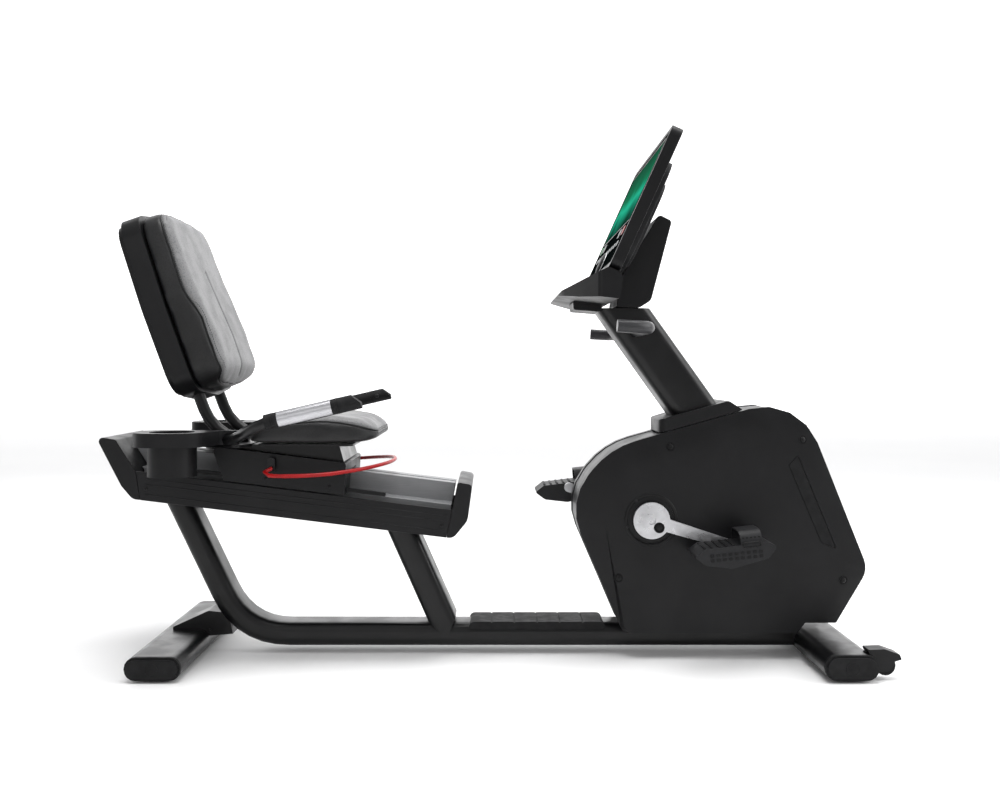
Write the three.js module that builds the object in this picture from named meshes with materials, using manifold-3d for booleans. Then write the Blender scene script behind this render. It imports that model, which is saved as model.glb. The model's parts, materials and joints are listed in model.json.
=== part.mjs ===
// Recumbent exercise bike: a bent-tube frame carries a sliding seat at the rear and a belt drive,
// a mast and a console at the front. Millimetres, +Z up, the rider faces +X.
// The origin is on the floor under the middle of the machine.
import * as THREE from "three";
import { mergeVertices } from "three/addons/utils/BufferGeometryUtils.js";
import Module from "manifold-3d";

const wasm = await Module();
wasm.setup();

// ---------- driving dimensions ----------
const GAP = 0.3; // clearance between pieces that meet
const ROUND = 24; // facets round a full turn

const BEAM = { z: 43, width: 90, depth: 54, wall: 3, corner: 20, front: 700 };
const REAR_POST = { cornerX: -568, bend: 170, turn: 1.12, topX: -742, topZ: 403 };
const FRONT_POST = { width: 97, depth: 63, foot: [-107, 71], top: [-207, 294] };

const FOOT = { half: 262, cap: 13, bottom: 4, wall: 3 };
const REAR_FOOT = { x: -701.5, width: 118, height: 49 };
const FRONT_FOOT = { x: 752, width: 113, height: 53 };
const LEVELLER = { radius: 22, y: 232, stem: 5, stemTop: 22 };

const TREAD = { from: -48, to: 263, top: 75, side: 57, half: 49, grooves: 5 };
const RAIL = { x: -437, z: 385, tilt: THREE.MathUtils.degToRad(7) }; // middle of the cover's top edge
const COVER = { half: 135, wall: 4, depth: 62.5, front: 356, rear: -345 };
const TRACK = { half: 40, top: 50, ledgeHalf: 82, ledgeTop: 5 };

const HOUSING = { half: 135, wall: 4, top: 74, bottom: 3 };
const ROLLER = { radius: 9, half: 34, axle: 4, u: [-125, 78] };
const LEVER = { u: -48, v: 58, rod: 4.5, shaft: 5, shaftHalf: 150 };

const SEAT = { half: 195, bottom: 489.5, plate: 483, crown: 548 };
const BACK = { x: -679, z: 614, lean: THREE.MathUtils.degToRad(19.1), shell: 37, half: 188 };
const BACK_TUBE = { y: 90, radius: 13.5 };
const CUP = { x: -670, y: 234, radius: 51, wall: 3.5, top: 519, bottom: 426 };
const GRIP = { y: 321, radius: 16, bore: 12.2, length: 199, tip: [-262, 588], rise: 13 };
const BUTTON = { radius: 5, travel: 1.5, fromTip: 34 };

const CRANK = { x: 361, z: 313, length: 170, angle: -17, hub: 41, face: 104, axle: 9.5 };
const PEDAL = {
  length: 178, width: 96, thick: 23, y: 168, tilt: 6,
  strap: { from: 12, to: 58, rise: 36, thick: 3 },
};
const SHROUD = { seam: 58, edge: 80, panel: 92, wall: 4 };
const PULLEY = { radius: 95, small: 25, y: -32, half: 8 };
const FLYWHEEL = { x: 650, z: 300, radius: 112, half: 11, y: 34 };

const MAST = { lean: [0.58, -0.814], depth: 102, width: 120, corner: 26 };
const CONSOLE = { foot: [245, 863], head: [379, 1159], half: 289, thick: 25 };
const BAR = { radius: 13.5, z: 738, x: 332, half: 309, tipX: 257 };
const WHEEL = { x: 830.6, z: 29.5, radius: 21.5, y: 235, width: 22 };

// ---------- materials ----------
const paint = (color, roughness, metalness = 0) =>
  new THREE.MeshStandardMaterial({ color, roughness, metalness });
const FINISH = {
  frame: paint(0x1c1d1f, 0.45, 0.3),
  plastic: paint(0x202124, 0.55),
  soft: paint(0x2b2c2f, 0.8),
  rubber: paint(0x161617, 0.9),
  silver: paint(0xb9babd, 0.3, 0.9),
  alloy: paint(0xa9acb0, 0.4, 0.9),
  steel: paint(0x8f9296, 0.35, 1),
  red: paint(0xc81e23, 0.35),
  glass: paint(0x0a2a22, 0.1),
};

// ---------- solids ----------
const rad = THREE.MathUtils.degToRad;

function solid(geometry) {
  const bare = geometry.index ? geometry.toNonIndexed() : geometry.clone();
  const positions = new THREE.BufferGeometry();
  positions.setAttribute("position", bare.getAttribute("position"));
  const merged = mergeVertices(positions, 1e-3);
  return new wasm.Manifold(
    new wasm.Mesh({
      numProp: 3,
      vertProperties: merged.attributes.position.array,
      triVerts: new Uint32Array(merged.index.array),
    }),
  );
}

const bike = new THREE.Group();

function add(name, shape, material) {
  const made = shape.getMesh();
  const geometry = new THREE.BufferGeometry();
  const positions = new Float32Array(made.numVert * 3);
  for (let i = 0; i < made.numVert; i++) {
    positions.set(made.vertProperties.subarray(i * made.numProp, i * made.numProp + 3), i * 3);
  }
  geometry.setAttribute("position", new THREE.BufferAttribute(positions, 3));
  geometry.setIndex(new THREE.BufferAttribute(made.triVerts, 1));
  geometry.computeVertexNormals();
  const mesh = new THREE.Mesh(geometry, material);
  mesh.name = name;
  bike.add(mesh);
}

// A closed outline with each corner [x, y, radius] rounded by an arc of the same number of steps.
function outline(corners, steps = 4) {
  const points = [];
  corners.forEach(([x, y, radius = 0], i) => {
    const here = new THREE.Vector2(x, y);
    const before = new THREE.Vector2(...corners.at(i - 1)).sub(here).normalize();
    const after = new THREE.Vector2(...corners[(i + 1) % corners.length]).sub(here).normalize();
    if (radius === 0) {
      points.push(here);
      return;
    }
    const half = Math.acos(THREE.MathUtils.clamp(before.dot(after), -1, 1)) / 2;
    const start = here.clone().addScaledVector(before, radius / Math.tan(half));
    const end = here.clone().addScaledVector(after, radius / Math.tan(half));
    const toCentre = before.clone().add(after).normalize();
    const centre = here.clone().addScaledVector(toCentre, radius / Math.sin(half));
    const from = start.clone().sub(centre).angle();
    let turn = end.clone().sub(centre).angle() - from;
    if (turn > Math.PI) turn -= 2 * Math.PI;
    if (turn < -Math.PI) turn += 2 * Math.PI;
    for (let k = 0; k <= steps; k++) {
      const a = from + (turn * k) / steps;
      points.push(new THREE.Vector2(Math.cos(a), Math.sin(a)).multiplyScalar(radius).add(centre));
    }
  });
  return points;
}

const rectangle = (width, height, corner, steps = 4) =>
  outline(
    [
      [-width / 2, -height / 2, corner],
      [width / 2, -height / 2, corner],
      [width / 2, height / 2, corner],
      [-width / 2, height / 2, corner],
    ],
    steps,
  );

const circle = (radius, count = ROUND, x = 0, y = 0) =>
  Array.from({ length: count }, (_, i) => {
    const a = (2 * Math.PI * i) / count;
    return new THREE.Vector2(x + radius * Math.cos(a), y + radius * Math.sin(a));
  });

function shapeOf(points, holes = []) {
  const shape = new THREE.Shape(points);
  holes.forEach((hole) => shape.holes.push(new THREE.Path(hole)));
  return shape;
}

// A flat outline drawn in X and Z, extruded along Y from y0 to y1.
function sideSlab(points, y0, y1, holes = []) {
  const geometry = new THREE.ExtrudeGeometry(shapeOf(points, holes), {
    depth: y1 - y0,
    bevelEnabled: false,
  });
  return solid(geometry.rotateX(Math.PI / 2).translate(0, y1, 0));
}

// A flat outline drawn in X and Y, extruded upwards from z0 to z1.
function floorSlab(points, z0, z1, holes = []) {
  const geometry = new THREE.ExtrudeGeometry(shapeOf(points, holes), {
    depth: z1 - z0,
    bevelEnabled: false,
  });
  return solid(geometry.translate(0, 0, z0));
}

function box(x0, x1, y0, y1, z0, z1) {
  const geometry = new THREE.BoxGeometry(x1 - x0, y1 - y0, z1 - z0);
  return solid(geometry.translate((x0 + x1) / 2, (y0 + y1) / 2, (z0 + z1) / 2));
}

// A turned piece with its axis along Y: the profile holds [radius, y] pairs.
function turned(profile, x, z, count = ROUND) {
  const points = profile.map(([r, y]) => new THREE.Vector2(r, y));
  return solid(new THREE.LatheGeometry(points, count).translate(x, 0, z));
}

// A turned piece with its axis along Z.
function upright(profile, x, y, count = ROUND) {
  const points = profile.map(([r, z]) => new THREE.Vector2(r, z));
  return solid(new THREE.LatheGeometry(points, count).rotateX(Math.PI / 2).translate(x, y, 0));
}

// A section swept along a curve, with flat ends.
function swept(curve, section, steps, holes = []) {
  return solid(
    new THREE.ExtrudeGeometry(shapeOf(section, holes), { extrudePath: curve, steps, bevelEnabled: false }),
  );
}

const vector = (p) => new THREE.Vector3(...p);
const rod = (points, radius, steps, sides = 12) =>
  swept(new THREE.CatmullRomCurve3(points.map(vector), false, "centripetal"), circle(radius, sides), steps);

const mirrored = (shape) => shape.mirror([0, 1, 0]);

// A section extruded straight from one point to another, its x side by side along Y.
function bar(from, to, section, holes = []) {
  const along = new THREE.Vector3(...to).sub(new THREE.Vector3(...from));
  const forward = along.clone().normalize();
  const across = new THREE.Vector3(0, 1, 0);
  const geometry = new THREE.ExtrudeGeometry(shapeOf(section, holes), {
    depth: along.length(),
    bevelEnabled: false,
  });
  const basis = new THREE.Matrix4().makeBasis(across, forward.clone().cross(across), forward);
  return solid(geometry.applyMatrix4(basis).translate(...from));
}

// A point of the tilted seat rail: u runs forward along it and v stands square on it.
const railPoint = (u, v) => [
  RAIL.x + u * Math.cos(RAIL.tilt) + v * Math.sin(RAIL.tilt),
  RAIL.z - u * Math.sin(RAIL.tilt) + v * Math.cos(RAIL.tilt),
];
const railSlab = (corners, y0, y1, steps = 4) =>
  sideSlab(outline(corners.map(([u, v, r]) => [...railPoint(u, v), r]), steps), y0, y1);
const railBox = (u0, u1, y0, y1, v0, v1) => railSlab([[u0, v0], [u1, v0], [u1, v1], [u0, v1]], y0, y1);

// A point of the leaning back: n runs forward out of it and w runs up along it.
const backPoint = (n, w) => [
  BACK.x + n * Math.cos(BACK.lean) - w * Math.sin(BACK.lean),
  BACK.z + n * Math.sin(BACK.lean) + w * Math.cos(BACK.lean),
];

// ---------- welded frame ----------
const tubeSection = (trim = 0) =>
  rectangle(BEAM.width - 2 * trim, BEAM.depth - 2 * trim, BEAM.corner - trim, 3);

// Bent tube: rear post, bend and beam, with a bore or solid when trim is given.
function mainTube(trim, endGap = 0) {
  const corner = new THREE.Vector3(REAR_POST.cornerX, 0, BEAM.z);
  const top = new THREE.Vector3(REAR_POST.topX, 0, REAR_POST.topZ);
  const reach = REAR_POST.bend * Math.tan(REAR_POST.turn / 2);
  const bendStart = corner.clone().lerp(top, reach / corner.distanceTo(top));
  const bendEnd = new THREE.Vector3(corner.x + reach, 0, BEAM.z);
  const bend = new THREE.QuadraticBezierCurve3(bendStart, corner, bendEnd);
  const section = tubeSection(trim);
  const overlap = 0.2;
  const into = bendStart.clone().add(corner.clone().sub(top).setLength(overlap));
  return bar(top.toArray(), into.toArray(), section)
    .add(swept(bend, section, 7))
    .add(bar([bendEnd.x - overlap, 0, BEAM.z], [BEAM.front - endGap, 0, BEAM.z], section));
}

// Everything above the underside of the rail cover.
const aboveRail = () => railBox(-600, 600, -300, 300, -COVER.depth - GAP, 400);

const footAt = (foot, trim = 0) =>
  rectangle(foot.width - 2 * trim, foot.height - 2 * trim, foot.height / 2 - 1 - trim, 4).map(
    (p) => new THREE.Vector2(p.x + foot.x, p.y + FOOT.bottom + foot.height / 2),
  );

function footTube(foot) {
  let tube = sideSlab(footAt(foot), -FOOT.half, FOOT.half, [footAt(foot, FOOT.wall)]);
  for (const y of [-LEVELLER.y, LEVELLER.y]) {
    const hole = LEVELLER.stem + GAP;
    tube = tube.subtract(upright([[0, 0], [hole, 0], [hole, 20], [0, 20]], foot.x, y, 12));
  }
  return tube;
}

function buildFrame() {
  const tube = mainTube(0);
  const stub = sideSlab(
    outline([[-727, 40], [-640, 40, 8], [-590, 44], [-600, 92], [-646, 97, 10], [-727, 60]]),
    -34,
    34,
  );
  const rearClear = sideSlab(footAt(REAR_FOOT, -GAP), -FOOT.half, FOOT.half);
  const frontClear = sideSlab(footAt(FRONT_FOOT, -GAP), -FOOT.half, FOOT.half);
  const frame = tube
    .add(stub)
    .subtract(mainTube(BEAM.wall).add(box(BEAM.front - 30, 720, -30, 30, 30, 56)))
    .subtract(rearClear)
    .subtract(frontClear);
  add("rear_foot_tube", footTube(REAR_FOOT), FINISH.frame);
  add("front_foot_tube", footTube(FRONT_FOOT), FINISH.frame);

  const lean = [FRONT_POST.top[0] - FRONT_POST.foot[0], FRONT_POST.top[1] - FRONT_POST.foot[1]];
  const across = FRONT_POST.depth / 2 / Math.hypot(...lean);
  const side = [lean[1] * across, -lean[0] * across];
  const [top, foot] = [FRONT_POST.top, FRONT_POST.foot];
  const post = sideSlab(
    outline([
      [top[0] - side[0], top[1] - side[1]],
      [foot[0] - side[0], foot[1] - side[1]],
      [foot[0] + 11, foot[1] - 29, 3],
      [foot[0] + side[0], foot[1] + side[1]],
      [top[0] + side[0] * 1.02, top[1] + side[1]],
    ]),
    -FRONT_POST.width / 2,
    FRONT_POST.width / 2,
  );
  const roundPost = bar(
    [foot[0] + 20, 0, foot[1] - 44],
    [top[0] - 9, 0, top[1] + 20],
    rectangle(FRONT_POST.width, FRONT_POST.depth + 1, 20, 3),
  );
  const hollowPost = bar(
    [foot[0] + 20, 0, foot[1] - 44],
    [top[0] - 9, 0, top[1] + 20],
    rectangle(FRONT_POST.width - 6, FRONT_POST.depth - 6, 17, 3),
  );
  const weldedPost = post.intersect(roundPost).subtract(hollowPost).subtract(mainTube(0));
  add("main_frame", frame.add(weldedPost).subtract(aboveRail()), FINISH.frame);
}

function buildFeet() {
  for (const [place, foot] of [["rear", REAR_FOOT], ["front", FRONT_FOOT]]) {
    const cap = (y0, y1, trim) => sideSlab(footAt(foot, trim), y0, y1);
    const near = cap(-FOOT.half - 8, -FOOT.half - GAP, 0)
      .add(cap(-FOOT.half - FOOT.cap, -FOOT.half - 7, 5));
    add(`${place}_foot_cap_right`, near, FINISH.rubber);
    add(`${place}_foot_cap_left`, mirrored(near), FINISH.rubber);
    const { radius, stem, stemTop } = LEVELLER;
    for (const [side, y] of [["right", -LEVELLER.y], ["left", LEVELLER.y]]) {
      const shoulder = FOOT.bottom - GAP;
      const profile = [[0, 0], [radius, 0], [radius, shoulder], [stem, shoulder], [stem, stemTop]];
      add(`${place}_leveller_${side}`, upright([...profile, [0, stemTop]], foot.x, y, 18), FINISH.rubber);
    }
  }
}

function buildTread() {
  const { from, to, top, side, half, grooves } = TREAD;
  const body = sideSlab(
    outline([[from, side, 6], [to, side, 6], [to, top, 12], [from, top, 12]]),
    -half,
    half,
  );
  let tread = body.subtract(mainTube(-GAP));
  const pitch = (to - from) / (grooves + 1);
  for (let i = 1; i <= grooves; i++) {
    const x = from + pitch * i;
    tread = tread.subtract(box(x - 1.5, x + 1.5, -half - 1, half + 1, top - 2, top + 2));
  }
  add("step_tread", tread, FINISH.rubber);
}

// ---------- seat rail and its cover ----------
function buildRail() {
  const { half, wall, depth, front, rear } = COVER;
  const outer = railSlab([[rear, 0], [rear + 17, -depth], [front - 5, -depth], [front, 0]], -half, half);
  const inner = railBox(rear - 50, front + 50, wall - half, half - wall, wall - depth, 50);
  add("rail_cover", outer.subtract(inner), FINISH.plastic);

  const low = wall - depth + GAP;
  const ends = (y0, y1) =>
    railSlab([
      [rear + 19, low], [front - 7, low], [front - 1, TRACK.top], [rear - 41, TRACK.top], [rear + 1, -1],
    ], y0, y1);
  const track = ends(-TRACK.half, TRACK.half);
  const ledge = ends(-TRACK.ledgeHalf, TRACK.ledgeHalf).intersect(
    railBox(rear - 60, front + 60, -TRACK.ledgeHalf - 1, TRACK.ledgeHalf + 1, -8, TRACK.ledgeTop),
  );
  const core = railBox(rear - 60, front + 60, 4 - TRACK.half, TRACK.half - 4, -40, TRACK.top - 5);
  const slot = railBox(rear - 60, front + 60, -8, 8, TRACK.top - 6, TRACK.top + 1);
  add("seat_rail", track.add(ledge).subtract(core).subtract(slot), FINISH.alloy);

  const rearCap = railSlab(
    [
      [-443, 65, 9],
      [-373, -37, 20],
      [-345, -depth, 22],
      [rear + 16.6, -depth],
      [rear - GAP, -1],
      [-398, 63, 8],
    ],
    -half,
    half,
  );
  add("rail_end_cap_rear", rearCap, FINISH.soft);
  const frontCap = railSlab(
    [
      [front + GAP, -1],
      [front - 5 + GAP, -depth],
      [front + 10, -depth, 20],
      [393, -20, 30],
      [393.5, 60, 8],
      [361, 62, 6],
    ],
    -half,
    half,
  );
  add("rail_end_cap_front", frontCap, FINISH.soft);
}

// ---------- sliding seat ----------
function buildCarriage() {
  const { half, wall, top, bottom } = HOUSING;
  const box3 = railSlab([[-150, bottom], [117, bottom], [112, top, 6], [-187, top, 10]], -half, half);
  const hollow = railSlab(
    [[-145, bottom - 9], [112, bottom - 9], [107, top - wall], [-180, top - wall]],
    wall - half,
    half - wall,
  );
  const railWay = railBox(-260, 260, -TRACK.half - 4, TRACK.half + 4, 0, TRACK.top + 3)
    .add(railBox(-260, 260, -TRACK.ledgeHalf - 3, TRACK.ledgeHalf + 3, 0, TRACK.ledgeTop + 3));
  const shaftHole = turnedAt(LEVER.shaft + GAP, -half - 5, half + 5, ...railPoint(LEVER.u, LEVER.v));
  let housing = box3.subtract(hollow).subtract(railWay);
  for (const side of [-1, 1]) {
    const y = side * 110;
    housing = housing.add(railBox(-250, 205, y - 7, y + 7, 9, 17));
    housing = housing.add(railBox(-142, 108, Math.min(y, side * 132), Math.max(y, side * 132), 8, 12));
  }
  for (const u of ROLLER.u) {
    const cheek = (y) => railBox(u - 9, u + 9, y - 3, y + 3, TRACK.top + 4, top - 2);
    housing = housing.add(cheek(-40)).add(cheek(40));
  }
  housing = housing.subtract(shaftHole);
  const names = ["rear", "front"];
  ROLLER.u.forEach((u, i) => {
    const at = railPoint(u, TRACK.top + GAP + ROLLER.radius);
    housing = housing.add(turnedAt(ROLLER.axle, -43, 43, ...at, 12));
    const { radius, half: y, axle } = ROLLER;
    const bore = axle + GAP;
    const profile = [[bore, -y], [radius, -y], [radius, y], [bore, y], [bore, -y]];
    add(`carriage_roller_${names[i]}`, turned(profile, ...at, 18), FINISH.rubber);
  });
  add("carriage_housing", housing, FINISH.plastic);
}

// A plain round bar along Y.
function turnedAt(radius, y0, y1, x, z, sides = 16) {
  return turned([[0, y0], [radius, y0], [radius, y1], [0, y1]], x, z, sides);
}

// One welded piece: seat plate, wedge under it, wings for the cups, back tubes and handle arms.
function buildSeatFrame() {
  const wedge = sideSlab(
    outline([[-556, 476.8], railPoint(105, HOUSING.top + GAP), [-334, SEAT.plate], [-556, SEAT.plate]]),
    -118,
    118,
  );
  const sheet = rectangle(250, 300, 20).map((p) => new THREE.Vector2(p.x - 425, p.y));
  const plate = floorSlab(sheet, SEAT.plate - 0.5, SEAT.plate + 4);
  const wing = floorSlab(
    outline([[-668, -150, 8], [-540, -208, 14], [-520, -150], [-520, 150], [-540, 208, 14], [-668, 150, 8]]),
    SEAT.plate - 0.5,
    SEAT.plate + 6,
  );
  let frame = wedge.add(plate).add(wing);
  for (const side of [-1, 1]) {
    frame = frame.add(backTube(side)).add(armTube(side));
  }
  add("seat_frame", frame, FINISH.frame);
}

function backTube(side, grow = 0) {
  const y = side * BACK_TUBE.y;
  const [topX, topZ] = backPoint(BACK.shell / 2, 120 + grow);
  const [lowX, lowZ] = backPoint(BACK.shell / 2, -40);
  const [rootX, rootZ] = [-585, SEAT.plate + 5 + BACK_TUBE.radius];
  const path = [
    [topX, y, topZ],
    [lowX, y, lowZ],
    [lowX + 20, y, lowZ - 44],
    [rootX, y, rootZ],
    [rootX + 45, y, rootZ - 1],
  ];
  return rod(path, BACK_TUBE.radius + grow, 12, 12);
}
const armTube = (side, grow = 0) => rod(handleArm(side), GRIP.bore - GAP + grow, 11, 12);

// The arm leaves the seat plate, bends outwards and runs up inside the grip.
function handleArm(side) {
  const start = gripPoint(GRIP.length - 4);
  const end = gripPoint(60);
  return [
    [-590, side * 165, SEAT.plate + 15],
    [-552, side * 200, SEAT.plate + 18],
    [-505, side * 285, (start[1] + SEAT.plate) / 2 + 6],
    [start[0], side * GRIP.y, start[1]],
    [(start[0] + end[0]) / 2, side * GRIP.y, (start[1] + end[1]) / 2],
    [end[0], side * GRIP.y, end[1]],
  ];
}

// ---------- cushions ----------
function buildSeatCushion() {
  const { half, bottom, crown } = SEAT;
  const profile = outline(
    [
      [-530, bottom, 4],
      [-276, bottom, 30],
      [-240, 498, 14],
      [-236, 518, 14],
      [-272, 538, 40],
      [-340, crown, 60],
      [-440, crown - 4, 60],
      [-520, crown - 14, 30],
    ],
    3,
  );
  const plan = outline(
    [
      [-532, -half + 4, 40],
      [-360, -half, 90],
      [-235, -half + 34, 80],
      [-235, half - 34, 80],
      [-360, half, 90],
      [-532, half - 4, 40],
    ],
    4,
  );
  const body = sideSlab(profile, -half, half).intersect(floorSlab(plan, bottom - 1, crown + 1));
  add("seat_cushion", body, FINISH.soft);
}

// The outline of the back seen square on, in Y and w, trimmed all round by an inset.
function backFace(inset, n0, n1) {
  const half = BACK.half - inset;
  const points = outline(
    [
      [-half + 14, -20 + inset, 50],
      [0, -37 + inset, 200],
      [half - 14, -20 + inset, 50],
      [half, 180, 300],
      [half - 16, 380 - inset, 55],
      [0, 400 - inset, 260],
      [-half + 16, 380 - inset, 55],
      [-half, 180, 300],
    ],
    4,
  );
  const geometry = new THREE.ExtrudeGeometry(shapeOf(points), { depth: n1 - n0, bevelEnabled: false });
  geometry.translate(0, 0, n0);
  const up = new THREE.Vector3(-Math.sin(BACK.lean), 0, Math.cos(BACK.lean));
  const out = new THREE.Vector3(Math.cos(BACK.lean), 0, Math.sin(BACK.lean));
  const basis = new THREE.Matrix4().makeBasis(new THREE.Vector3(0, 1, 0), up, out);
  return solid(geometry.applyMatrix4(basis).translate(BACK.x, 0, BACK.z));
}

function buildBack() {
  const { shell, half } = BACK;
  const skin = backFace(0, -4, shell).add(backFace(9, -16, -3.5));
  add("back_shell", skin.subtract(backTube(-1, 1)).subtract(backTube(1, 1)), FINISH.plastic);
  const side = outline(
    [
      [shell + GAP, -39],
      [72, -37, 30],
      [111, -10, 44],
      [111, 80, 120],
      [98, 230, 160],
      [93, 402, 44],
      [shell + GAP, 402],
    ].map(([n, w, r]) => [...backPoint(n, w), r]),
    4,
  );
  const pad = sideSlab(side, -half, half).intersect(backFace(2, shell + GAP, 114));
  add("back_cushion", pad, FINISH.soft);
}

// ---------- cup holders ----------
function buildCupHolders() {
  const { x, y, radius, wall, top, bottom } = CUP;
  const rimY = [-y - 62, -y + 66];
  const rim = outline(
    [
      [x - 80, rimY[0], 58],
      [x + 62, rimY[0], 52],
      [x + 92, rimY[1] - 30, 20],
      [x + 128, rimY[1] - 14, 10],
      [x + 128, rimY[1], 4],
      [x - 80, rimY[1], 40],
    ],
    5,
  );
  const lift = SEAT.plate + 6 + GAP;
  const inside = circle(radius - wall, 28, x, -y);
  let cup = floorSlab(rim, lift, top)
    .subtract(floorSlab(outline([
      [x - 76, rimY[0] + 4, 54],
      [x + 60, rimY[0] + 4, 48],
      [x + 84, rimY[1] - 30, 14],
      [x + 84, rimY[1] - 5, 4],
      [x - 76, rimY[1] - 4, 36],
    ], 5), lift - 1, top - 5))
    .add(floorSlab(circle(radius, 28, x, -y), bottom, top - 1))
    .subtract(floorSlab(inside, bottom + wall, top + 1));
  const wingClear = box(-680, -500, -215, 215, SEAT.plate - 6, lift);
  cup = cup.subtract(wingClear).subtract(armTube(-1, 2));
  add("cup_holder_right", cup, FINISH.plastic);
  add("cup_holder_left", mirrored(cup), FINISH.plastic);
}

// ---------- seat handles ----------
// A point on the grip's axis, at a distance back from its tip.
const gripPoint = (back) => [
  GRIP.tip[0] - back * Math.cos(rad(GRIP.rise)),
  GRIP.tip[1] - back * Math.sin(rad(GRIP.rise)),
];
const gripBar = (from, to, section, holes = []) => {
  const [a, b] = [gripPoint(from), gripPoint(to)];
  return bar([a[0], -GRIP.y, a[1]], [b[0], -GRIP.y, b[1]], section, holes);
};
const sector = (inner, outer, from, to, steps = 10) => {
  const arc = (r, a, b) =>
    Array.from({ length: steps + 1 }, (_, i) => {
      const t = rad(a + ((b - a) * i) / steps);
      return new THREE.Vector2(r * Math.cos(t), r * Math.sin(t));
    });
  return [...arc(outer, from, to), ...arc(inner, to, from)];
};

function buildHandles() {
  const { radius, length, y } = GRIP;
  const blank = gripBar(length, 0, circle(radius, 20)).subtract(armTube(-1, GAP + 0.2));
  const plate = gripBar(172, 60, sector(radius - 1.6, radius + 0.4, 112, 244));
  const seat = gripBar(172.4, 59.6, sector(radius - 1.6 - GAP, radius + 2, 110, 246));
  const [tipX, tipZ] = gripPoint(0);
  const slant = sideSlab(
    outline([[tipX - 44, tipZ + 28.6], [tipX + 30, tipZ - 24.8], [tipX + 60, tipZ + 60]]),
    -y - 30,
    -y + 30,
  );
  const [bx, bz] = gripPoint(BUTTON.fromTip);
  const inner = -y + radius;
  const { radius: br, travel } = BUTTON;
  const well = turnedAt(br + GAP, inner - 8, inner + 5, bx, bz);
  const button = turned(
    [
      [0, inner - 8 + travel + GAP], [br, inner - 8 + travel + GAP],
      [br, inner + 1.2], [br - 1.4, inner + 2.4], [0, inner + 2.4],
    ],
    bx, bz, 16,
  );
  const grip = blank.subtract(seat).subtract(slant).subtract(well);
  for (const [side, form] of [["right", (s) => s], ["left", mirrored]]) {
    add(`handle_grip_${side}`, form(grip), FINISH.rubber);
    add(`pulse_plate_${side}`, form(plate), FINISH.steel);
    add(`thumb_button_${side}`, form(button), FINISH.plastic);
  }
}

// ---------- release lever ----------
function buildLever() {
  const [px, pz] = railPoint(LEVER.u, LEVER.v);
  const { shaft, shaftHalf, rod: thickness } = LEVER;
  const shaftBar = turnedAt(shaft, -shaftHalf, shaftHalf, px, pz);
  const pawl = sideSlab(
    outline([[px - 9, pz - 3.5], [px + 28, pz - 8, 3], [px + 28, pz + 3, 3], [px - 9, pz + 8, 6]]),
    -HOUSING.half + HOUSING.wall + 6,
    -HOUSING.half + HOUSING.wall + 14,
  );
  const ears = [-1, 1].map((s) => {
    const [y0, y1] = s < 0 ? [-shaftHalf, -shaftHalf + 9] : [shaftHalf - 9, shaftHalf];
    const side = [[px - 9, pz + 9, 6], [px - 9, pz - 22, 5], [px + 7, pz - 22, 5], [px + 7, pz + 9, 6]];
    return sideSlab(outline(side), y0, y1);
  });
  add("lever_shaft", shaftBar.add(pawl).add(ears[0]).add(ears[1]), FINISH.frame);
  const halfLoop = [
    [px + 2, 155.4, pz - 13],
    [px - 8, 160, pz - 15],
    [px - 12, 168, pz - 21],
    [px - 3, 180, pz - 26],
    [px + 60, 197, pz - 26],
    [px + 130, 196, pz - 22],
    [px + 195, 160, pz - 15],
    [px + 240, 95, pz - 9],
  ];
  const farLoop = halfLoop.toReversed().map(([x, y, z]) => [x, -y, z]);
  const loop = [...halfLoop, [px + 256, 0, pz - 7], ...farLoop];
  add("release_lever", rod(loop, thickness, 40, 7), FINISH.red);
}

// ---------- drive and its shroud ----------
const SHROUD_EDGE = [
  [300, 57, 20], [173, 351.5, 130], [269, 473, 190], [695, 593, 128],
  [851, 200.5, 50], [779, 80, 6], [703, 80, 8], [690, 57, 4],
];
const SHROUD_PANEL = [
  [304, 60, 18], [252, 338, 90], [292, 416, 60], [660, 534, 90],
  [801.5, 198.6, 45], [719.5, 83, 5], [706, 83, 5], [688, 60, 4],
];

// A tapered plate between two outlines with the same number of points.
function tapered(outerLoop, innerLoop, y0, y1) {
  const turned = THREE.ShapeUtils.isClockWise(outerLoop);
  const [outer, inner] = [outerLoop, innerLoop].map((loop) => (turned ? loop.toReversed() : loop));
  const count = outer.length;
  const corners = [...outer.map((p) => [p.x, y1, p.y]), ...inner.map((p) => [p.x, y0, p.y])];
  const faces = [];
  THREE.ShapeUtils.triangulateShape(outer, []).forEach(([a, b, c]) => faces.push(a, c, b));
  THREE.ShapeUtils.triangulateShape(inner, []).forEach(([a, b, c]) => {
    faces.push(a + count, b + count, c + count);
  });
  for (let i = 0; i < count; i++) {
    const next = (i + 1) % count;
    faces.push(i, next, i + count, next, next + count, i + count);
  }
  const geometry = new THREE.BufferGeometry();
  geometry.setAttribute("position", new THREE.Float32BufferAttribute(corners.flat(), 3));
  geometry.setIndex(faces);
  return solid(geometry);
}

// The same outline moved inwards, corner by corner, towards the middle of the shroud.
const shrunk = (corners, by) => {
  const centre = new THREE.Vector2(510, 300);
  return corners.map(([x, z, r]) => {
    const p = new THREE.Vector2(x, z);
    const away = p.clone().sub(centre);
    const length = away.length();
    return [...p.addScaledVector(away, -by / length).toArray(), Math.max(r - by / 2, 2)];
  });
};

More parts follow.
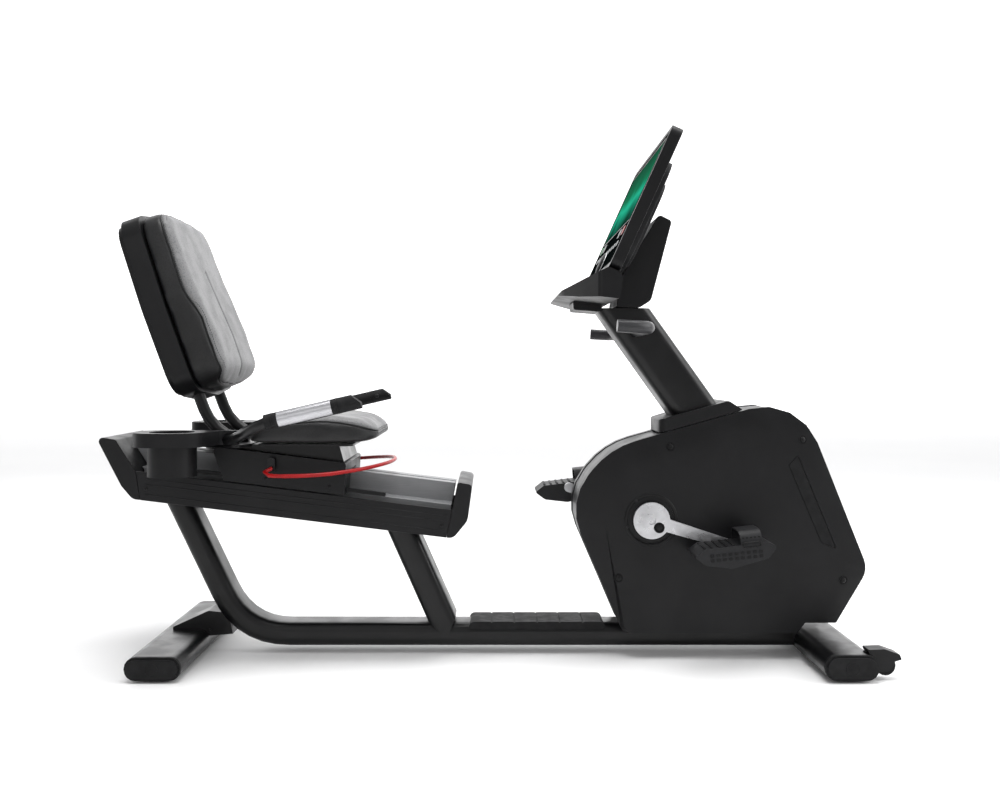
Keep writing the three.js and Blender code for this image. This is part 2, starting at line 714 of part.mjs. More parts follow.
function buildShroud() {
  const { seam, edge, panel, wall } = SHROUD;
  const rim = outline(SHROUD_EDGE);
  const raised = outline(SHROUD_PANEL);
  const inside = outline(shrunk(SHROUD_EDGE, 7), 2);
  const insideRaised = outline(shrunk(SHROUD_PANEL, 7), 2);
  const skin = sideSlab(rim, -edge, -seam).add(tapered(rim, raised, -panel, -edge + 0.1));
  const hollow = sideSlab(inside, -edge + wall, -seam + 1).add(
    tapered(inside, insideRaised, -panel + wall, -edge + wall + 0.1),
  );
  const crankHole = sideSlab(circle(30, 24, CRANK.x, CRANK.z), -panel - 1, -seam);
  const dish = sideSlab(circle(52, 32, CRANK.x, CRANK.z), -panel - 1, -panel + 2);
  const ventOutline = (out) =>
    outline([
      [690 + out, 460 + out, 3], [668 - out, 435, 3], [740 - out, 262 - out, 3], [777 + out, 248 - out, 3],
    ]);
  const vent = sideSlab(ventOutline(0), -panel - 1, -panel + 2.4);
  let shell = skin.subtract(hollow).subtract(crankHole).subtract(dish).subtract(vent);
  const frontFoot = sideSlab(footAt(FRONT_FOOT, -2), -200, 200);
  shell = shell.subtract(frontFoot).subtract(mastBlock(-GAP, 430));
  const trim = sideSlab(ventOutline(-2), -panel + 0.4, -panel + 2.1);
  const strip = outline(shrunk(SHROUD_EDGE, 2));
  const band = sideSlab(strip, -seam + GAP, seam - GAP)
    .subtract(sideSlab(outline(shrunk(SHROUD_EDGE, 8), 3), -seam, seam))
    .subtract(box(200, 720, -seam - 1, seam + 1, 0, BEAM.z + BEAM.depth / 2 + 1))
    .subtract(frontFoot)
    .subtract(mastBlock(-GAP, 430));
  const frontEnd = (solid) => solid.boundingBox().max[0];
  const [frontBand, rearBand] = band.decompose().toSorted((a, b) => frontEnd(b) - frontEnd(a));
  add("shroud_rim_front", frontBand, FINISH.plastic);
  add("shroud_rim_rear", rearBand, FINISH.plastic);
  for (const [side, form] of [["right", (s) => s], ["left", mirrored]]) {
    add(`shroud_${side}`, form(shell), FINISH.plastic);
    add(`vent_trim_${side}`, form(trim), FINISH.rubber);
  }
}

function buildDrive() {
  const { x, z, axle, face, hub, length, angle } = CRANK;
  const { radius, small, y, half } = PULLEY;
  const groove = radius - 3;
  const drum = (r, g, bore) => [
    [bore, y - half], [r, y - half], [r, y - half + 2], [g, y - half + 2],
    [g, y + half - 2], [r, y + half - 2], [r, y + half], [bore, y + half], [bore, y - half],
  ];
  const drive = turned(drum(radius, groove, axle - 1), x, z, 30)
    .add(turnedAt(axle, -face + 15, face - 15, x, z));
  add("crank_axle_and_pulley", drive, FINISH.steel);
  const { x: fx, z: fz, radius: fr, half: fh, y: fy } = FLYWHEEL;
  const spindle = turnedAt(8, y - half, fy + fh + 6, fx, fz);
  const weight = turned([[0, fy - fh], [fr, fy - fh], [fr, fy + fh], [0, fy + fh]], fx, fz, 28);
  const rims = drum(small, small - 3, 0).slice(1, 7);
  const cog = turned([[0, y - half], ...rims, [0, y + half]], fx, fz, 24);
  add("flywheel", weight.add(spindle).add(cog), FINISH.steel);

  const wrap = (grow) => {
    const [r0, r1] = [groove + grow, small - 3 + grow];
    const span = Math.hypot(fx - x, fz - z);
    const base = Math.atan2(fz - z, fx - x);
    const open = Math.acos((r0 - r1) / span);
    const arc = (cx, cz, r, from, to) =>
      Array.from({ length: 19 }, (_, i) => {
        const a = base + from + ((to - from) * i) / 18;
        return new THREE.Vector2(cx + r * Math.cos(a), cz + r * Math.sin(a));
      });
    return [...arc(x, z, r0, open, 2 * Math.PI - open), ...arc(fx, fz, r1, -open, open)];
  };
  add("drive_belt", sideSlab(wrap(3), y - half + 2.4, y + half - 2.4, [wrap(1.3)]), FINISH.rubber);

  const plate = sideSlab(
    outline([
      [x - 34, 70.6], [fx + 30, 70.6], [fx + 30, fz + 30, 20], [fx - 50, fz + 50, 20],
      [598, 439.4], [506, 439.4], [x - 34, z + 34, 20],
    ]),
    -6,
    6,
    [circle(axle + GAP, 20, x, z), circle(8 + GAP, 16, fx, fz)],
  );
  add("drive_bracket", plate, FINISH.frame);

  const flat = sideSlab(circle(hub, 32), -face, -face + 9);
  const stem = sideSlab(
    outline([
      [20, -15], [length, -11, 10], [length + 19, -11, 10],
      [length + 19, 11, 10], [length, 11, 10], [20, 15],
    ]),
    -face + 0.5,
    -face + 10,
  );
  const boss = turnedAt(14, -face + 1, -SHROUD.panel + 8, 0, 0, 20);
  const socket = turnedAt(axle + GAP, -face + 15 - GAP, 0, 0, 0, 20);
  const spindleOut = turnedAt(7, -PEDAL.y - PEDAL.width / 2 + 8, -face + 3, length, 0);
  const arm = flat.add(stem).add(boss).subtract(socket).add(spindleOut)
    .subtract(sideSlab(circle(9, 16), -face - 1, -face + 4));
  const near = arm.rotate([0, -angle, 0]).translate([x, 0, z]);
  const far = arm.mirror([0, 1, 0]).rotate([0, -angle + 180, 0]).translate([x, 0, z]);
  add("crank_arm_right", near, FINISH.silver);
  add("crank_arm_left", far, FINISH.silver);
}

function buildPedals() {
  const { length, width, thick, y, strap } = PEDAL;
  const body = sideSlab(
    outline([
      [-length / 2, -3, 4],
      [-length / 2 + 22, -thick, 16],
      [-12, -thick - 12, 24],
      [length / 2 - 22, -thick + 2, 16],
      [length / 2, 2, 6],
      [length / 2 - 18, 13, 8],
      [-length / 2 + 22, 11, 8],
    ]),
    -y - width / 2,
    -y + width / 2,
  ).subtract(turnedAt(7 + GAP, -y - width / 2 + 8 - GAP, -y + width, 0, 0));
  const arch = (grow) => {
    const side = width / 2 - strap.thick + grow;
    const top = strap.rise + grow;
    return outline([[-side, 0], [side, 0], [side - 4, top, 24], [4 - side, top, 24]]);
  };
  const loop = bar([strap.from, -y, 2], [strap.to, -y, 2], arch(strap.thick)).subtract(
    bar([strap.from - 1, -y, 2], [strap.to + 1, -y, 2], arch(0)),
  );
  const pedal = body.add(loop.subtract(body));
  const spot = rad(CRANK.angle);
  const [dx, dz] = [CRANK.length * Math.cos(spot), CRANK.length * Math.sin(spot)];
  const tilt = -PEDAL.tilt;
  add("pedal_right", pedal.rotate([0, tilt, 0]).translate([CRANK.x + dx, 0, CRANK.z + dz]), FINISH.rubber);
  const farPedal = mirrored(pedal).rotate([0, tilt, 0]).translate([CRANK.x - dx, 0, CRANK.z - dz]);
  add("pedal_left", farPedal, FINISH.rubber);
}

// ---------- mast and console ----------
const mastLow = [468, 558.7];
// A block of the mast's section about its axis, down to a height z0.
function mastBlock(trim = 0, z0 = 405, z1 = 790) {
  const [lx, lz] = MAST.lean;
  const at = (z) => [mastLow[0] - ((z - mastLow[1]) * lx) / -lz, 0, z];
  const section = rectangle(MAST.width - 2 * trim, MAST.depth - 2 * trim, MAST.corner - trim);
  return bar(at(z0), at(z1), section);
}

// A point of the console: p runs up its face and q runs back from the face.
const [FOOT_X, FOOT_Z] = CONSOLE.foot;
const faceLean = Math.atan2(CONSOLE.head[0] - FOOT_X, CONSOLE.head[1] - FOOT_Z);
const faceHeight = Math.hypot(CONSOLE.head[0] - FOOT_X, CONSOLE.head[1] - FOOT_Z);
const consolePoint = (p, q) => [
  FOOT_X + p * Math.sin(faceLean) + q * Math.cos(faceLean),
  FOOT_Z + p * Math.cos(faceLean) - q * Math.sin(faceLean),
];
// A plate square to the console's face, drawn in Y and p, from depth q0 to q1.
function facePlate(width, p0, p1, corner, q0, q1) {
  const middle = (p0 + p1) / 2;
  const [ax, az] = consolePoint(middle, q0);
  const [bx, bz] = consolePoint(middle, q1);
  return bar([ax, 0, az], [bx, 0, bz], rectangle(width, p1 - p0, corner));
}

function buildMast() {
  const { edge } = SHROUD;
  const mast = mastBlock(0, 405, 830)
    .subtract(mastBlock(3.5, 380, 860))
    .subtract(box(150, 500, -90, 90, 790, 920))
    .subtract(box(400, 800, -90, 90, 340, 440))
    .subtract(barHole());
  add("mast", mast, FINISH.frame);
  const collar = sideSlab(
    outline([[382, 506.5, 2], [570, 559.4, 2], [538, 580, 8], [382, 537, 6]]),
    -edge,
    edge,
  ).intersect(
    floorSlab(outline([[382, -edge, 24], [580, -edge, 10], [580, edge, 10], [382, edge, 24]]), 480, 600),
  );
  add("mast_collar", collar.subtract(mastBlock(-GAP)), FINISH.plastic);
}

function buildConsole() {
  const { half, thick } = CONSOLE;
  const width = 2 * half;
  const body = facePlate(width, 0, faceHeight, 24, 0, thick);
  const recess = facePlate(width - 26, 14, faceHeight - 12, 14, -1, 3);
  add("console_housing", body.subtract(recess), FINISH.plastic);
  add("screen_glass", facePlate(width - 27, 14.5, faceHeight - 12.5, 14, 0.8, 2.7), FINISH.glass);
  const back = facePlate(width - 50, 18, faceHeight - 60, 60, thick + GAP, thick + 12).add(
    facePlate(width - 110, 30, faceHeight - 100, 60, thick + 11, thick + 20),
  );
  add("console_back_cover", back, FINISH.soft);

  const [bx, bz] = consolePoint(-GAP, thick);
  const trayProfile = outline([
    [146, 812, 3], [190, 805, 4], [268, 797, 4], [bx + 6, bz - 10, 4],
    [bx, bz], consolePoint(-GAP, 0), [156, 822, 3],
  ]);
  const plan = outline([
    [136, -125, 12], [160, -175, 40], [226, -half, 12], [290, -half, 4], [290, half, 4], [226, half, 12],
    [160, 175, 40], [136, 125, 12],
  ]);
  const tray = sideSlab(trayProfile, -half, half).intersect(floorSlab(plan, 700, 900));
  const pocket = box(168, 228, -150, 150, 816, 900);
  add("accessory_tray", tray.subtract(pocket), FINISH.plastic);
  const module = sideSlab(
    outline([[188, 805.2 - GAP, 3], [254, 798.4 - GAP, 3], [254, 781, 5], [190, 786, 5]]),
    -60, 60,
  );
  add("console_port_module", module.subtract(tray).subtract(mastBlock(-GAP, 440, 900)), FINISH.plastic);

  const pod = sideSlab(
    outline([
      [381, 1000, 8], [410, 985, 8], [363, 806, 20], [340, 791.5, 4],
      [285, 791.5, 4], consolePoint(10, thick + 22),
    ]),
    -78,
    78,
  );
  const clear = facePlate(700, -300, 700, 4, -200, thick + 20 + GAP).add(sideSlab(trayProfile, -300, 300));
  add("console_pod", pod.subtract(clear), FINISH.plastic);
}

function buildHandlebar() {
  const { radius, z, x, half, tipX } = BAR;
  const side = (s) => [
    [x, s * (half - 70), z],
    [x - 4, s * (half - 40), z],
    [x - 22, s * (half - 19), z],
    [x - 40, s * (half - radius - 1), z + 1],
    [tipX + 4, s * (half - radius), z + 3],
  ];
  const path = [...side(-1).toReversed(), [x, -80, z], [x, 80, z], ...side(1)];
  const barShape = rod(path, radius, 30, 12);
  add("console_handlebar", barShape, FINISH.rubber);
}
const barHole = () => turnedAt(BAR.radius + 0.6, -120, 120, BAR.x, BAR.z, 20);

function buildWheels() {
  const { x, z, radius, y, width } = WHEEL;
  const half = width / 2;
  const tyre = turned(
    [
      [4 + GAP, -half], [radius - 3, -half], [radius, -half + 3], [radius, half - 3],
      [radius - 3, half], [4 + GAP, half], [4 + GAP, -half],
    ],
    0, 0, 20,
  );
  const guard = sideSlab(
    outline([
      [805, 20], [824, 18, 3], [838, 22, 3], [846, 40, 5], [861, 44, 2],
      [857, 55, 5], [826, 66, 12], [790, 64.5, 2], [796, 50],
    ]),
    -half - 7,
    half + 7,
  )
    .subtract(turned(
      [[0, -half - 2], [radius + 4, -half - 2], [radius + 4, half + 2], [0, half + 2]], x, z, 20,
    ))
    .subtract(box(790, 880, -half - 2, half + 2, -10, 30))
    .add(turnedAt(4, -half - 5, half + 5, x, z, 12))
    .subtract(sideSlab(footAt(FRONT_FOOT, -GAP), -60, 60));
  for (const [side, s] of [["right", -1], ["left", 1]]) {
    add(`wheel_bracket_${side}`, guard.translate([0, s * y, 0]), FINISH.plastic);
    add(`transport_wheel_${side}`, tyre.translate([x, s * y, z]), FINISH.rubber);
  }
}

// ---------- assembly ----------
buildFrame();
buildFeet();
buildTread();
buildRail();
buildCarriage();
buildSeatFrame();
buildSeatCushion();
buildBack();
buildCupHolders();
buildHandles();
buildLever();
buildShroud();
buildDrive();
buildPedals();
buildMast();
buildConsole();
buildHandlebar();
buildWheels();

export default bike;
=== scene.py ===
"""Recumbent exercise bike: looks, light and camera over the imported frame."""
import json
import math

import bmesh
import bpy
from mathutils import Matrix, Vector
from mathutils.bvhtree import BVHTree
from mathutils.kdtree import KDTree


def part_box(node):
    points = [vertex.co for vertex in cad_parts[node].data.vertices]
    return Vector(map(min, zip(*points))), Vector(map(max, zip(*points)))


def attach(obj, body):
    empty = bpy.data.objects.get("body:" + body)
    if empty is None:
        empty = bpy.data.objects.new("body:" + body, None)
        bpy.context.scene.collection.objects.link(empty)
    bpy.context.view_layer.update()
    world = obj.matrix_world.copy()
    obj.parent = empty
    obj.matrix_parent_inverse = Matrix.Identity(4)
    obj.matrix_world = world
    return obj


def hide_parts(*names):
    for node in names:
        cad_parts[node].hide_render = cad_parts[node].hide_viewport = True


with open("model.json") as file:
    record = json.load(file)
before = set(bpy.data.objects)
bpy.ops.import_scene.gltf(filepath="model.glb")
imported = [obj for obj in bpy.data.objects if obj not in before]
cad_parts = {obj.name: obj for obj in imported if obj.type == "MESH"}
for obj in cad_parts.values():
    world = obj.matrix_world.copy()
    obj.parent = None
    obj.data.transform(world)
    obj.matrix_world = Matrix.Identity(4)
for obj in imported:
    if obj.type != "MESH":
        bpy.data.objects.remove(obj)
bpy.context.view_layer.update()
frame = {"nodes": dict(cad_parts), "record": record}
nodes = frame["nodes"]
MM = 0.001

# ---------- shared geometry of the machine, in millimetres ----------
FACE_FOOT, FACE_HEAD = Vector((245, 0, 863)), Vector((379, 0, 1159))
FACE_UP = (FACE_HEAD - FACE_FOOT).normalized()
FACE_IN = Vector((FACE_UP.z, 0, -FACE_UP.x))
BACK_AT, BACK_LEAN = Vector((-679, 0, 614)), math.radians(19.1)
BACK_UP = Vector((-math.sin(BACK_LEAN), 0, math.cos(BACK_LEAN)))
BACK_OUT = Vector((math.cos(BACK_LEAN), 0, math.sin(BACK_LEAN)))
RAIL_AT, RAIL_TILT = Vector((-437, 0, 385)), math.radians(7)
RAIL_ALONG = Vector((math.cos(RAIL_TILT), 0, -math.sin(RAIL_TILT)))
RAIL_UP = Vector((math.sin(RAIL_TILT), 0, math.cos(RAIL_TILT)))
CRANK_AT = Vector((361, 0, 313))
GRIP_TIP, GRIP_RISE, GRIP_Y = Vector((-262, 0, 588)), math.radians(13), 321


# ---------- materials ----------
class Surface:
    """A Principled material put together from small procedural layers."""

    def __init__(self, name, colour, roughness, metallic=0.0, coat=0.0, specular=0.5):
        self.material = bpy.data.materials.new(name)
        self.material.use_nodes = True
        self.tree = self.material.node_tree
        self.shader = self.tree.nodes["Principled BSDF"]
        self.shader.inputs["Metallic"].default_value = metallic
        self.shader.inputs["Coat Weight"].default_value = coat
        self.shader.inputs["Coat Roughness"].default_value = 0.12
        self.shader.inputs["Specular IOR Level"].default_value = specular
        self.shader.inputs["Roughness"].default_value = roughness
        self.colour, self.rough = (*colour, 1.0), roughness
        self.shader.inputs["Base Color"].default_value = self.colour
        self.place = self.node("ShaderNodeTexCoord").outputs["Object"]
        self.paint = self.gloss = self.height = None

    def node(self, kind, **values):
        made = self.tree.nodes.new(kind)
        for key, value in values.items():
            setattr(made, key, value)
        return made

    def join(self, source, target):
        self.tree.links.new(source, target)

    def noise(self, size, detail=2.0, stretch=(1, 1, 1), turn=(0, 0, 0), distortion=0.0):
        """Noise with features about `size` metres across, drawn out along the axes by `stretch`."""
        spread = self.node("ShaderNodeMapping")
        spread.inputs["Rotation"].default_value = turn
        spread.inputs["Scale"].default_value = [1 / (size * s) for s in stretch]
        self.join(self.place, spread.inputs["Vector"])
        made = self.node("ShaderNodeTexNoise")
        made.inputs["Scale"].default_value = 1.0
        made.inputs["Detail"].default_value = detail
        made.inputs["Distortion"].default_value = distortion
        self.join(spread.outputs["Vector"], made.inputs["Vector"])
        return made.outputs["Fac"]

    def cells(self, size, feature="F1", stretch=(1, 1, 1)):
        spread = self.node("ShaderNodeMapping")
        spread.inputs["Scale"].default_value = [1 / (size * s) for s in stretch]
        self.join(self.place, spread.inputs["Vector"])
        made = self.node("ShaderNodeTexVoronoi", feature=feature)
        made.inputs["Scale"].default_value = 1.0
        self.join(spread.outputs["Vector"], made.inputs["Vector"])
        return made.outputs["Distance"]

    def ramp(self, source, low, high, start=0.0, end=1.0):
        made = self.node("ShaderNodeMapRange", interpolation_type="SMOOTHSTEP")
        for key, value in (("From Min", low), ("From Max", high), ("To Min", start), ("To Max", end)):
            made.inputs[key].default_value = value
        self.join(source, made.inputs["Value"])
        return made.outputs["Result"]

    def times(self, a, b, operation="MULTIPLY"):
        made = self.node("ShaderNodeMath", operation=operation)
        for socket, value in zip(made.inputs, (a, b)):
            if isinstance(value, (int, float)):
                socket.default_value = value
            else:
                self.join(value, socket)
        return made.outputs[0]

    def tint(self, mask, colour):
        """Paints colour where mask is 1."""
        made = self.node("ShaderNodeMix", data_type="RGBA")
        self.join(mask, made.inputs["Factor"])
        if self.paint is None:
            made.inputs["A"].default_value = self.colour
        else:
            self.join(self.paint, made.inputs["A"])
        made.inputs["B"].default_value = (*colour, 1.0)
        self.paint = made.outputs["Result"]
        return self

    def polish(self, mask, amount):
        """Adds amount to the roughness where mask is 1."""
        start = self.rough if self.gloss is None else self.gloss
        self.gloss = self.times(start, self.times(mask, amount), "ADD")
        return self

    def emboss(self, source, depth):
        raised = self.times(source, depth)
        self.height = raised if self.height is None else self.times(self.height, raised, "ADD")
        return self

    def edges(self, width, colour, strength=1.0):
        """Rubbed edges: where the rounded normal leaves the face's own."""
        soft = self.node("ShaderNodeBevel", samples=4)
        soft.inputs["Radius"].default_value = width
        own = self.node("ShaderNodeNewGeometry")
        dot = self.node("ShaderNodeVectorMath", operation="DOT_PRODUCT")
        self.join(soft.outputs["Normal"], dot.inputs[0])
        self.join(own.outputs["Normal"], dot.inputs[1])
        worn = self.ramp(dot.outputs["Value"], 0.97, 0.8)
        broken = self.ramp(self.noise(0.012, 4.0), 0.42, 0.62, 0.15, strength)
        return self.tint(self.times(worn, broken), colour)

    def done(self):
        if self.paint is not None:
            self.join(self.paint, self.shader.inputs["Base Color"])
        if self.gloss is not None:
            self.join(self.gloss, self.shader.inputs["Roughness"])
        if self.height is not None:
            bump = self.node("ShaderNodeBump")
            bump.inputs["Distance"].default_value = 1.0
            bump.inputs["Strength"].default_value = 1.0
            self.join(self.height, bump.inputs["Height"])
            self.join(bump.outputs["Normal"], self.shader.inputs["Normal"])
        return self.material


def powder_coat():
    s = Surface("powder_coat", (0.0032, 0.0032, 0.0036), 0.28, specular=0.3)
    s.tint(s.ramp(s.noise(0.09, 3.0), 0.35, 0.7, 0.0, 0.35), (0.006, 0.006, 0.0066))
    s.polish(s.ramp(s.noise(0.05, 4.0), 0.35, 0.65), 0.1)
    s.emboss(s.noise(0.0016, 2.0), 0.00007)
    return s.edges(0.0022, (0.03, 0.03, 0.032), 0.6).done()


def moulded(name, colour, roughness, grain=0.0008, depth=0.00004, lift=1.7, worn=0.5):
    """Black moulded plastic with a fine spark-eroded grain, handled patches and rubbed edges."""
    s = Surface(name, colour, roughness, specular=0.22)
    pale = [c * lift for c in colour]
    s.tint(s.ramp(s.noise(0.12, 3.0, distortion=0.4), 0.4, 0.72, 0.0, 0.6), pale)
    s.tint(s.ramp(s.cells(grain * 2.2), 0.15, 0.75, 0.0, 0.35), pale)
    s.polish(s.ramp(s.noise(0.07, 5.0), 0.35, 0.7), 0.13)
    s.emboss(s.cells(grain), depth).emboss(s.noise(grain * 5, 3.0), depth * 0.7)
    return s.edges(0.002, [c * 3.2 for c in colour], worn).done()


def rubbery(name, colour, roughness, pitch=0.0026, depth=0.00016):
    s = Surface(name, colour, roughness, specular=0.25)
    s.tint(s.ramp(s.noise(0.03, 5.0), 0.45, 0.75, 0.0, 0.7), [c * 2.3 for c in colour])
    s.polish(s.ramp(s.noise(0.02, 4.0), 0.3, 0.7), 0.15)
    s.emboss(s.cells(pitch), depth).emboss(s.noise(0.0007, 2.0), 0.00003)
    return s.done()


def brushed(name, colour, roughness, along, metallic=1.0, depth=0.00002):
    """Metal with fine lines drawn out along the given axis lengths."""
    s = Surface(name, colour, roughness, metallic)
    lines = s.noise(0.0007, 3.0, stretch=along)
    s.tint(s.ramp(lines, 0.3, 0.75, 0.0, 0.55), [c * 0.72 for c in colour])
    s.tint(s.ramp(s.noise(0.06, 4.0), 0.5, 0.8, 0.0, 0.35), [c * 0.6 for c in colour])
    s.polish(s.ramp(lines, 0.3, 0.7), 0.14)
    return s.emboss(lines, depth).done()


def cast_silver():
    s = Surface("cast_silver", (0.56, 0.56, 0.575), 0.27, 0.92)
    s.tint(s.ramp(s.noise(0.02, 5.0), 0.42, 0.75, 0.0, 0.4), (0.36, 0.36, 0.37))
    s.polish(s.ramp(s.noise(0.015, 5.0), 0.35, 0.7), 0.16)
    s.emboss(s.noise(0.0012, 3.0), 0.00005)
    return s.edges(0.002, (0.8, 0.8, 0.81), 0.7).done()


def red_enamel():
    s = Surface("red_enamel", (0.34, 0.003, 0.004), 0.34, specular=0.3)
    s.tint(s.ramp(s.noise(0.03, 4.0), 0.4, 0.7, 0.0, 0.5), (0.22, 0.003, 0.005))
    s.polish(s.ramp(s.noise(0.01, 4.0), 0.35, 0.7), 0.12)
    return s.emboss(s.noise(0.004, 2.0), 0.0001).done()


def upholstery(name, colour, light=2.0):
    """Vinyl with a leather print: pebbles with creases between them, and a soft uneven sheen."""
    s = Surface(name, colour, 0.4, specular=0.34)
    s.tint(s.ramp(s.noise(0.14, 3.0), 0.38, 0.7, 0.0, 0.6), [c * light for c in colour])
    pebble = s.cells(0.0021, "SMOOTH_F1")
    # The print is darkened in the creases between the pebbles: painted shade in the sunk grain.
    s.tint(s.ramp(pebble, 0.35, 0.75, 0.0, 0.65), [c * 0.45 for c in colour])
    s.polish(s.ramp(s.noise(0.05, 4.0), 0.35, 0.7), 0.14)
    s.emboss(pebble, -0.00014).emboss(s.noise(0.006, 4.0, distortion=1.2), 0.0001)
    s.emboss(s.noise(0.06, 2.0), 0.00016)
    return s.done()


def foam_grip(name, colour):
    s = Surface(name, colour, 0.72, specular=0.3)
    s.tint(s.ramp(s.noise(0.02, 5.0), 0.4, 0.7, 0.0, 0.7), [c * 2 for c in colour])
    s.emboss(s.noise(0.0011, 4.0), 0.0002).emboss(s.cells(0.0035), 0.00012)
    return s.polish(s.ramp(s.noise(0.01, 3.0), 0.3, 0.7), 0.12).done()


def face_value(s, axis, start):
    """How far along axis a point lies from start, in metres."""
    made = s.node("ShaderNodeVectorMath", operation="DOT_PRODUCT")
    made.inputs[1].default_value = axis
    s.join(s.place, made.inputs[0])
    return s.times(made.outputs["Value"], start.dot(axis) * MM, "SUBTRACT")


def display():
    """Dark glass with a lit picture: green hills of light over a dark row of controls."""
    s = Surface("display", (0.002, 0.003, 0.003), 0.3, specular=0.0)
    up = face_value(s, FACE_UP, FACE_FOOT)
    lit = s.times(s.ramp(up, 0.112, 0.116), s.ramp(up, 0.297, 0.293))
    across = s.node("ShaderNodeSeparateXYZ")
    s.join(s.place, across.inputs[0])
    side = s.node("ShaderNodeMath", operation="ABSOLUTE")
    s.join(across.outputs["Y"], side.inputs[0])
    lit = s.times(lit, s.ramp(side.outputs[0], 0.258, 0.254))
    hills = s.times(up, s.times(s.noise(0.11, 2.0), 0.07), "ADD")
    glow = s.node("ShaderNodeValToRGB")
    stops = ((0.0, (0.002, 0.02, 0.012)), (0.35, (0.02, 0.5, 0.3)),
             (0.6, (0.01, 0.2, 0.09)), (1.0, (0.01, 0.09, 0.045)))
    glow.color_ramp.elements[0].color = (*stops[0][1], 1)
    glow.color_ramp.elements[1].color = (*stops[3][1], 1)
    for at, colour in stops[1:3]:
        glow.color_ramp.elements.new(at).color = (*colour, 1)
    s.join(s.ramp(hills, 0.14, 0.34), glow.inputs["Fac"])
    picture = s.node("ShaderNodeMix", data_type="RGBA")
    s.join(lit, picture.inputs["Factor"])
    picture.inputs["A"].default_value = (0.0, 0.0, 0.0, 1)
    s.join(glow.outputs["Color"], picture.inputs["B"])
    s.join(picture.outputs["Result"], s.shader.inputs["Emission Color"])
    s.shader.inputs["Emission Strength"].default_value = 0.9
    s.polish(s.ramp(s.noise(0.05, 4.0), 0.45, 0.75), 0.09)
    return s.emboss(s.noise(0.02, 2.0), 0.00001).done()


def studio_floor():
    s = Surface("studio_floor", (0.93, 0.93, 0.93), 0.6, specular=0.2)
    s.tint(s.ramp(s.noise(0.9, 2.0), 0.3, 0.7, 0.0, 0.3), (0.9, 0.9, 0.905))
    return s.emboss(s.noise(0.01, 2.0), 0.00002).done()


M = {
    "frame_paint": powder_coat(),
    "black_plastic": moulded("black_plastic", (0.0042, 0.0042, 0.0047), 0.36),
    "grey_plastic": moulded("grey_plastic", (0.011, 0.0111, 0.012), 0.46),
    "vinyl": upholstery("vinyl", (0.0075, 0.0076, 0.0082)),
    "rubber": rubbery("rubber", (0.0045, 0.0045, 0.005), 0.6),
    "silver": cast_silver(),
    "rail_alloy": brushed("rail_alloy", (0.24, 0.243, 0.25), 0.38, (60, 1, 1), metallic=0.4),
    "steel": brushed("steel", (0.52, 0.52, 0.54), 0.26, (50, 1, 1)),
    "flywheel_iron": brushed("flywheel_iron", (0.16, 0.16, 0.17), 0.5, (1, 1, 1), depth=0.0001),
    "red_paint": red_enamel(),
    "screen": display(),
}
M["dark_panel"] = moulded("dark_panel", (0.0028, 0.0028, 0.0031), 0.32)
M["foam"] = foam_grip("foam", (0.0045, 0.0045, 0.005))
M["bar_paint"] = moulded("bar_paint", (0.03, 0.03, 0.032), 0.3)
# Near-black used as painted shade: screw sockets, screw wells, bolt bores, strap holes and vent slots take
# it in place of the shade inside them.
M["recess"] = moulded("recess", (0.0025, 0.0025, 0.0028), 0.7)
# A light grey copy of the near-black vinyl: painted light where the lamps fall on the backrest's front panel
# and the seat's top.
M["vinyl_painted_light"] = upholstery("vinyl_painted_light", (0.15, 0.15, 0.153), 1.15)
M["vinyl_side"] = upholstery("vinyl_side", (0.0075, 0.0075, 0.008))
M["thread"] = rubbery("thread", (0.035, 0.035, 0.037), 0.8, 0.0008, 0.0001)
M["key_white"] = moulded("key_white", (0.14, 0.147, 0.15), 0.35, lift=1.1)
M["key_green"] = moulded("key_green", (0.015, 0.14, 0.045), 0.35, lift=1.2)
M["key_red"] = moulded("key_red", (0.2, 0.01, 0.01), 0.35, lift=1.2)

# ---------- carried-over nodes ----------
for part in frame["record"]["subparts"]:
    node = nodes[part["node"]]
    node.data.materials.clear()
    node.data.materials.append(M[part["material_slot"]])
for name in ("shroud_rim_front", "shroud_rim_rear"):
    nodes[name].data.materials[0] = M["black_plastic"]
for name in ("handle_grip_right", "handle_grip_left"):
    nodes[name].data.materials[0] = M["foam"]
nodes["console_handlebar"].data.materials[0] = M["bar_paint"]

SMALL_EDGE = {"thumb_button_right", "thumb_button_left", "screen_glass",
              "pulse_plate_right", "pulse_plate_left"}
for name, node in nodes.items():
    if "custom_normal" in node.data.attributes:
        node.data.attributes.remove(node.data.attributes["custom_normal"])
    node.data.shade_smooth()
    weld = node.modifiers.new("weld", "WELD")
    weld.merge_threshold = 1e-5
    flat = node.modifiers.new("flat", "DECIMATE")
    flat.decimate_type, flat.angle_limit = "DISSOLVE", math.radians(0.6)
    round_off = node.modifiers.new("round", "BEVEL")
    round_off.width = 0.0003 if name in SMALL_EDGE else 0.0012
    round_off.segments = 2
    round_off.limit_method, round_off.angle_limit = "ANGLE", math.radians(38)
    node.modifiers.new("normals", "WEIGHTED_NORMAL")


# ---------- mesh tools ----------
def link(name, mesh, body, material, smooth=True):
    """A new piece of mesh data, in the row frame, that rides on a body."""
    mesh.materials.append(M[material])
    if smooth:
        mesh.shade_smooth()
    piece = bpy.data.objects.new(name, mesh)
    bpy.context.scene.collection.objects.link(piece)
    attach(piece, body)
    return piece


def from_bmesh(name, bm):
    bmesh.ops.recalc_face_normals(bm, faces=bm.faces)
    mesh = bpy.data.meshes.new(name)
    bm.to_mesh(mesh)
    bm.free()
    return mesh


def axes_of(direction):
    z = direction.normalized()
    x = z.orthogonal().normalized()
    return x, z.cross(x), z


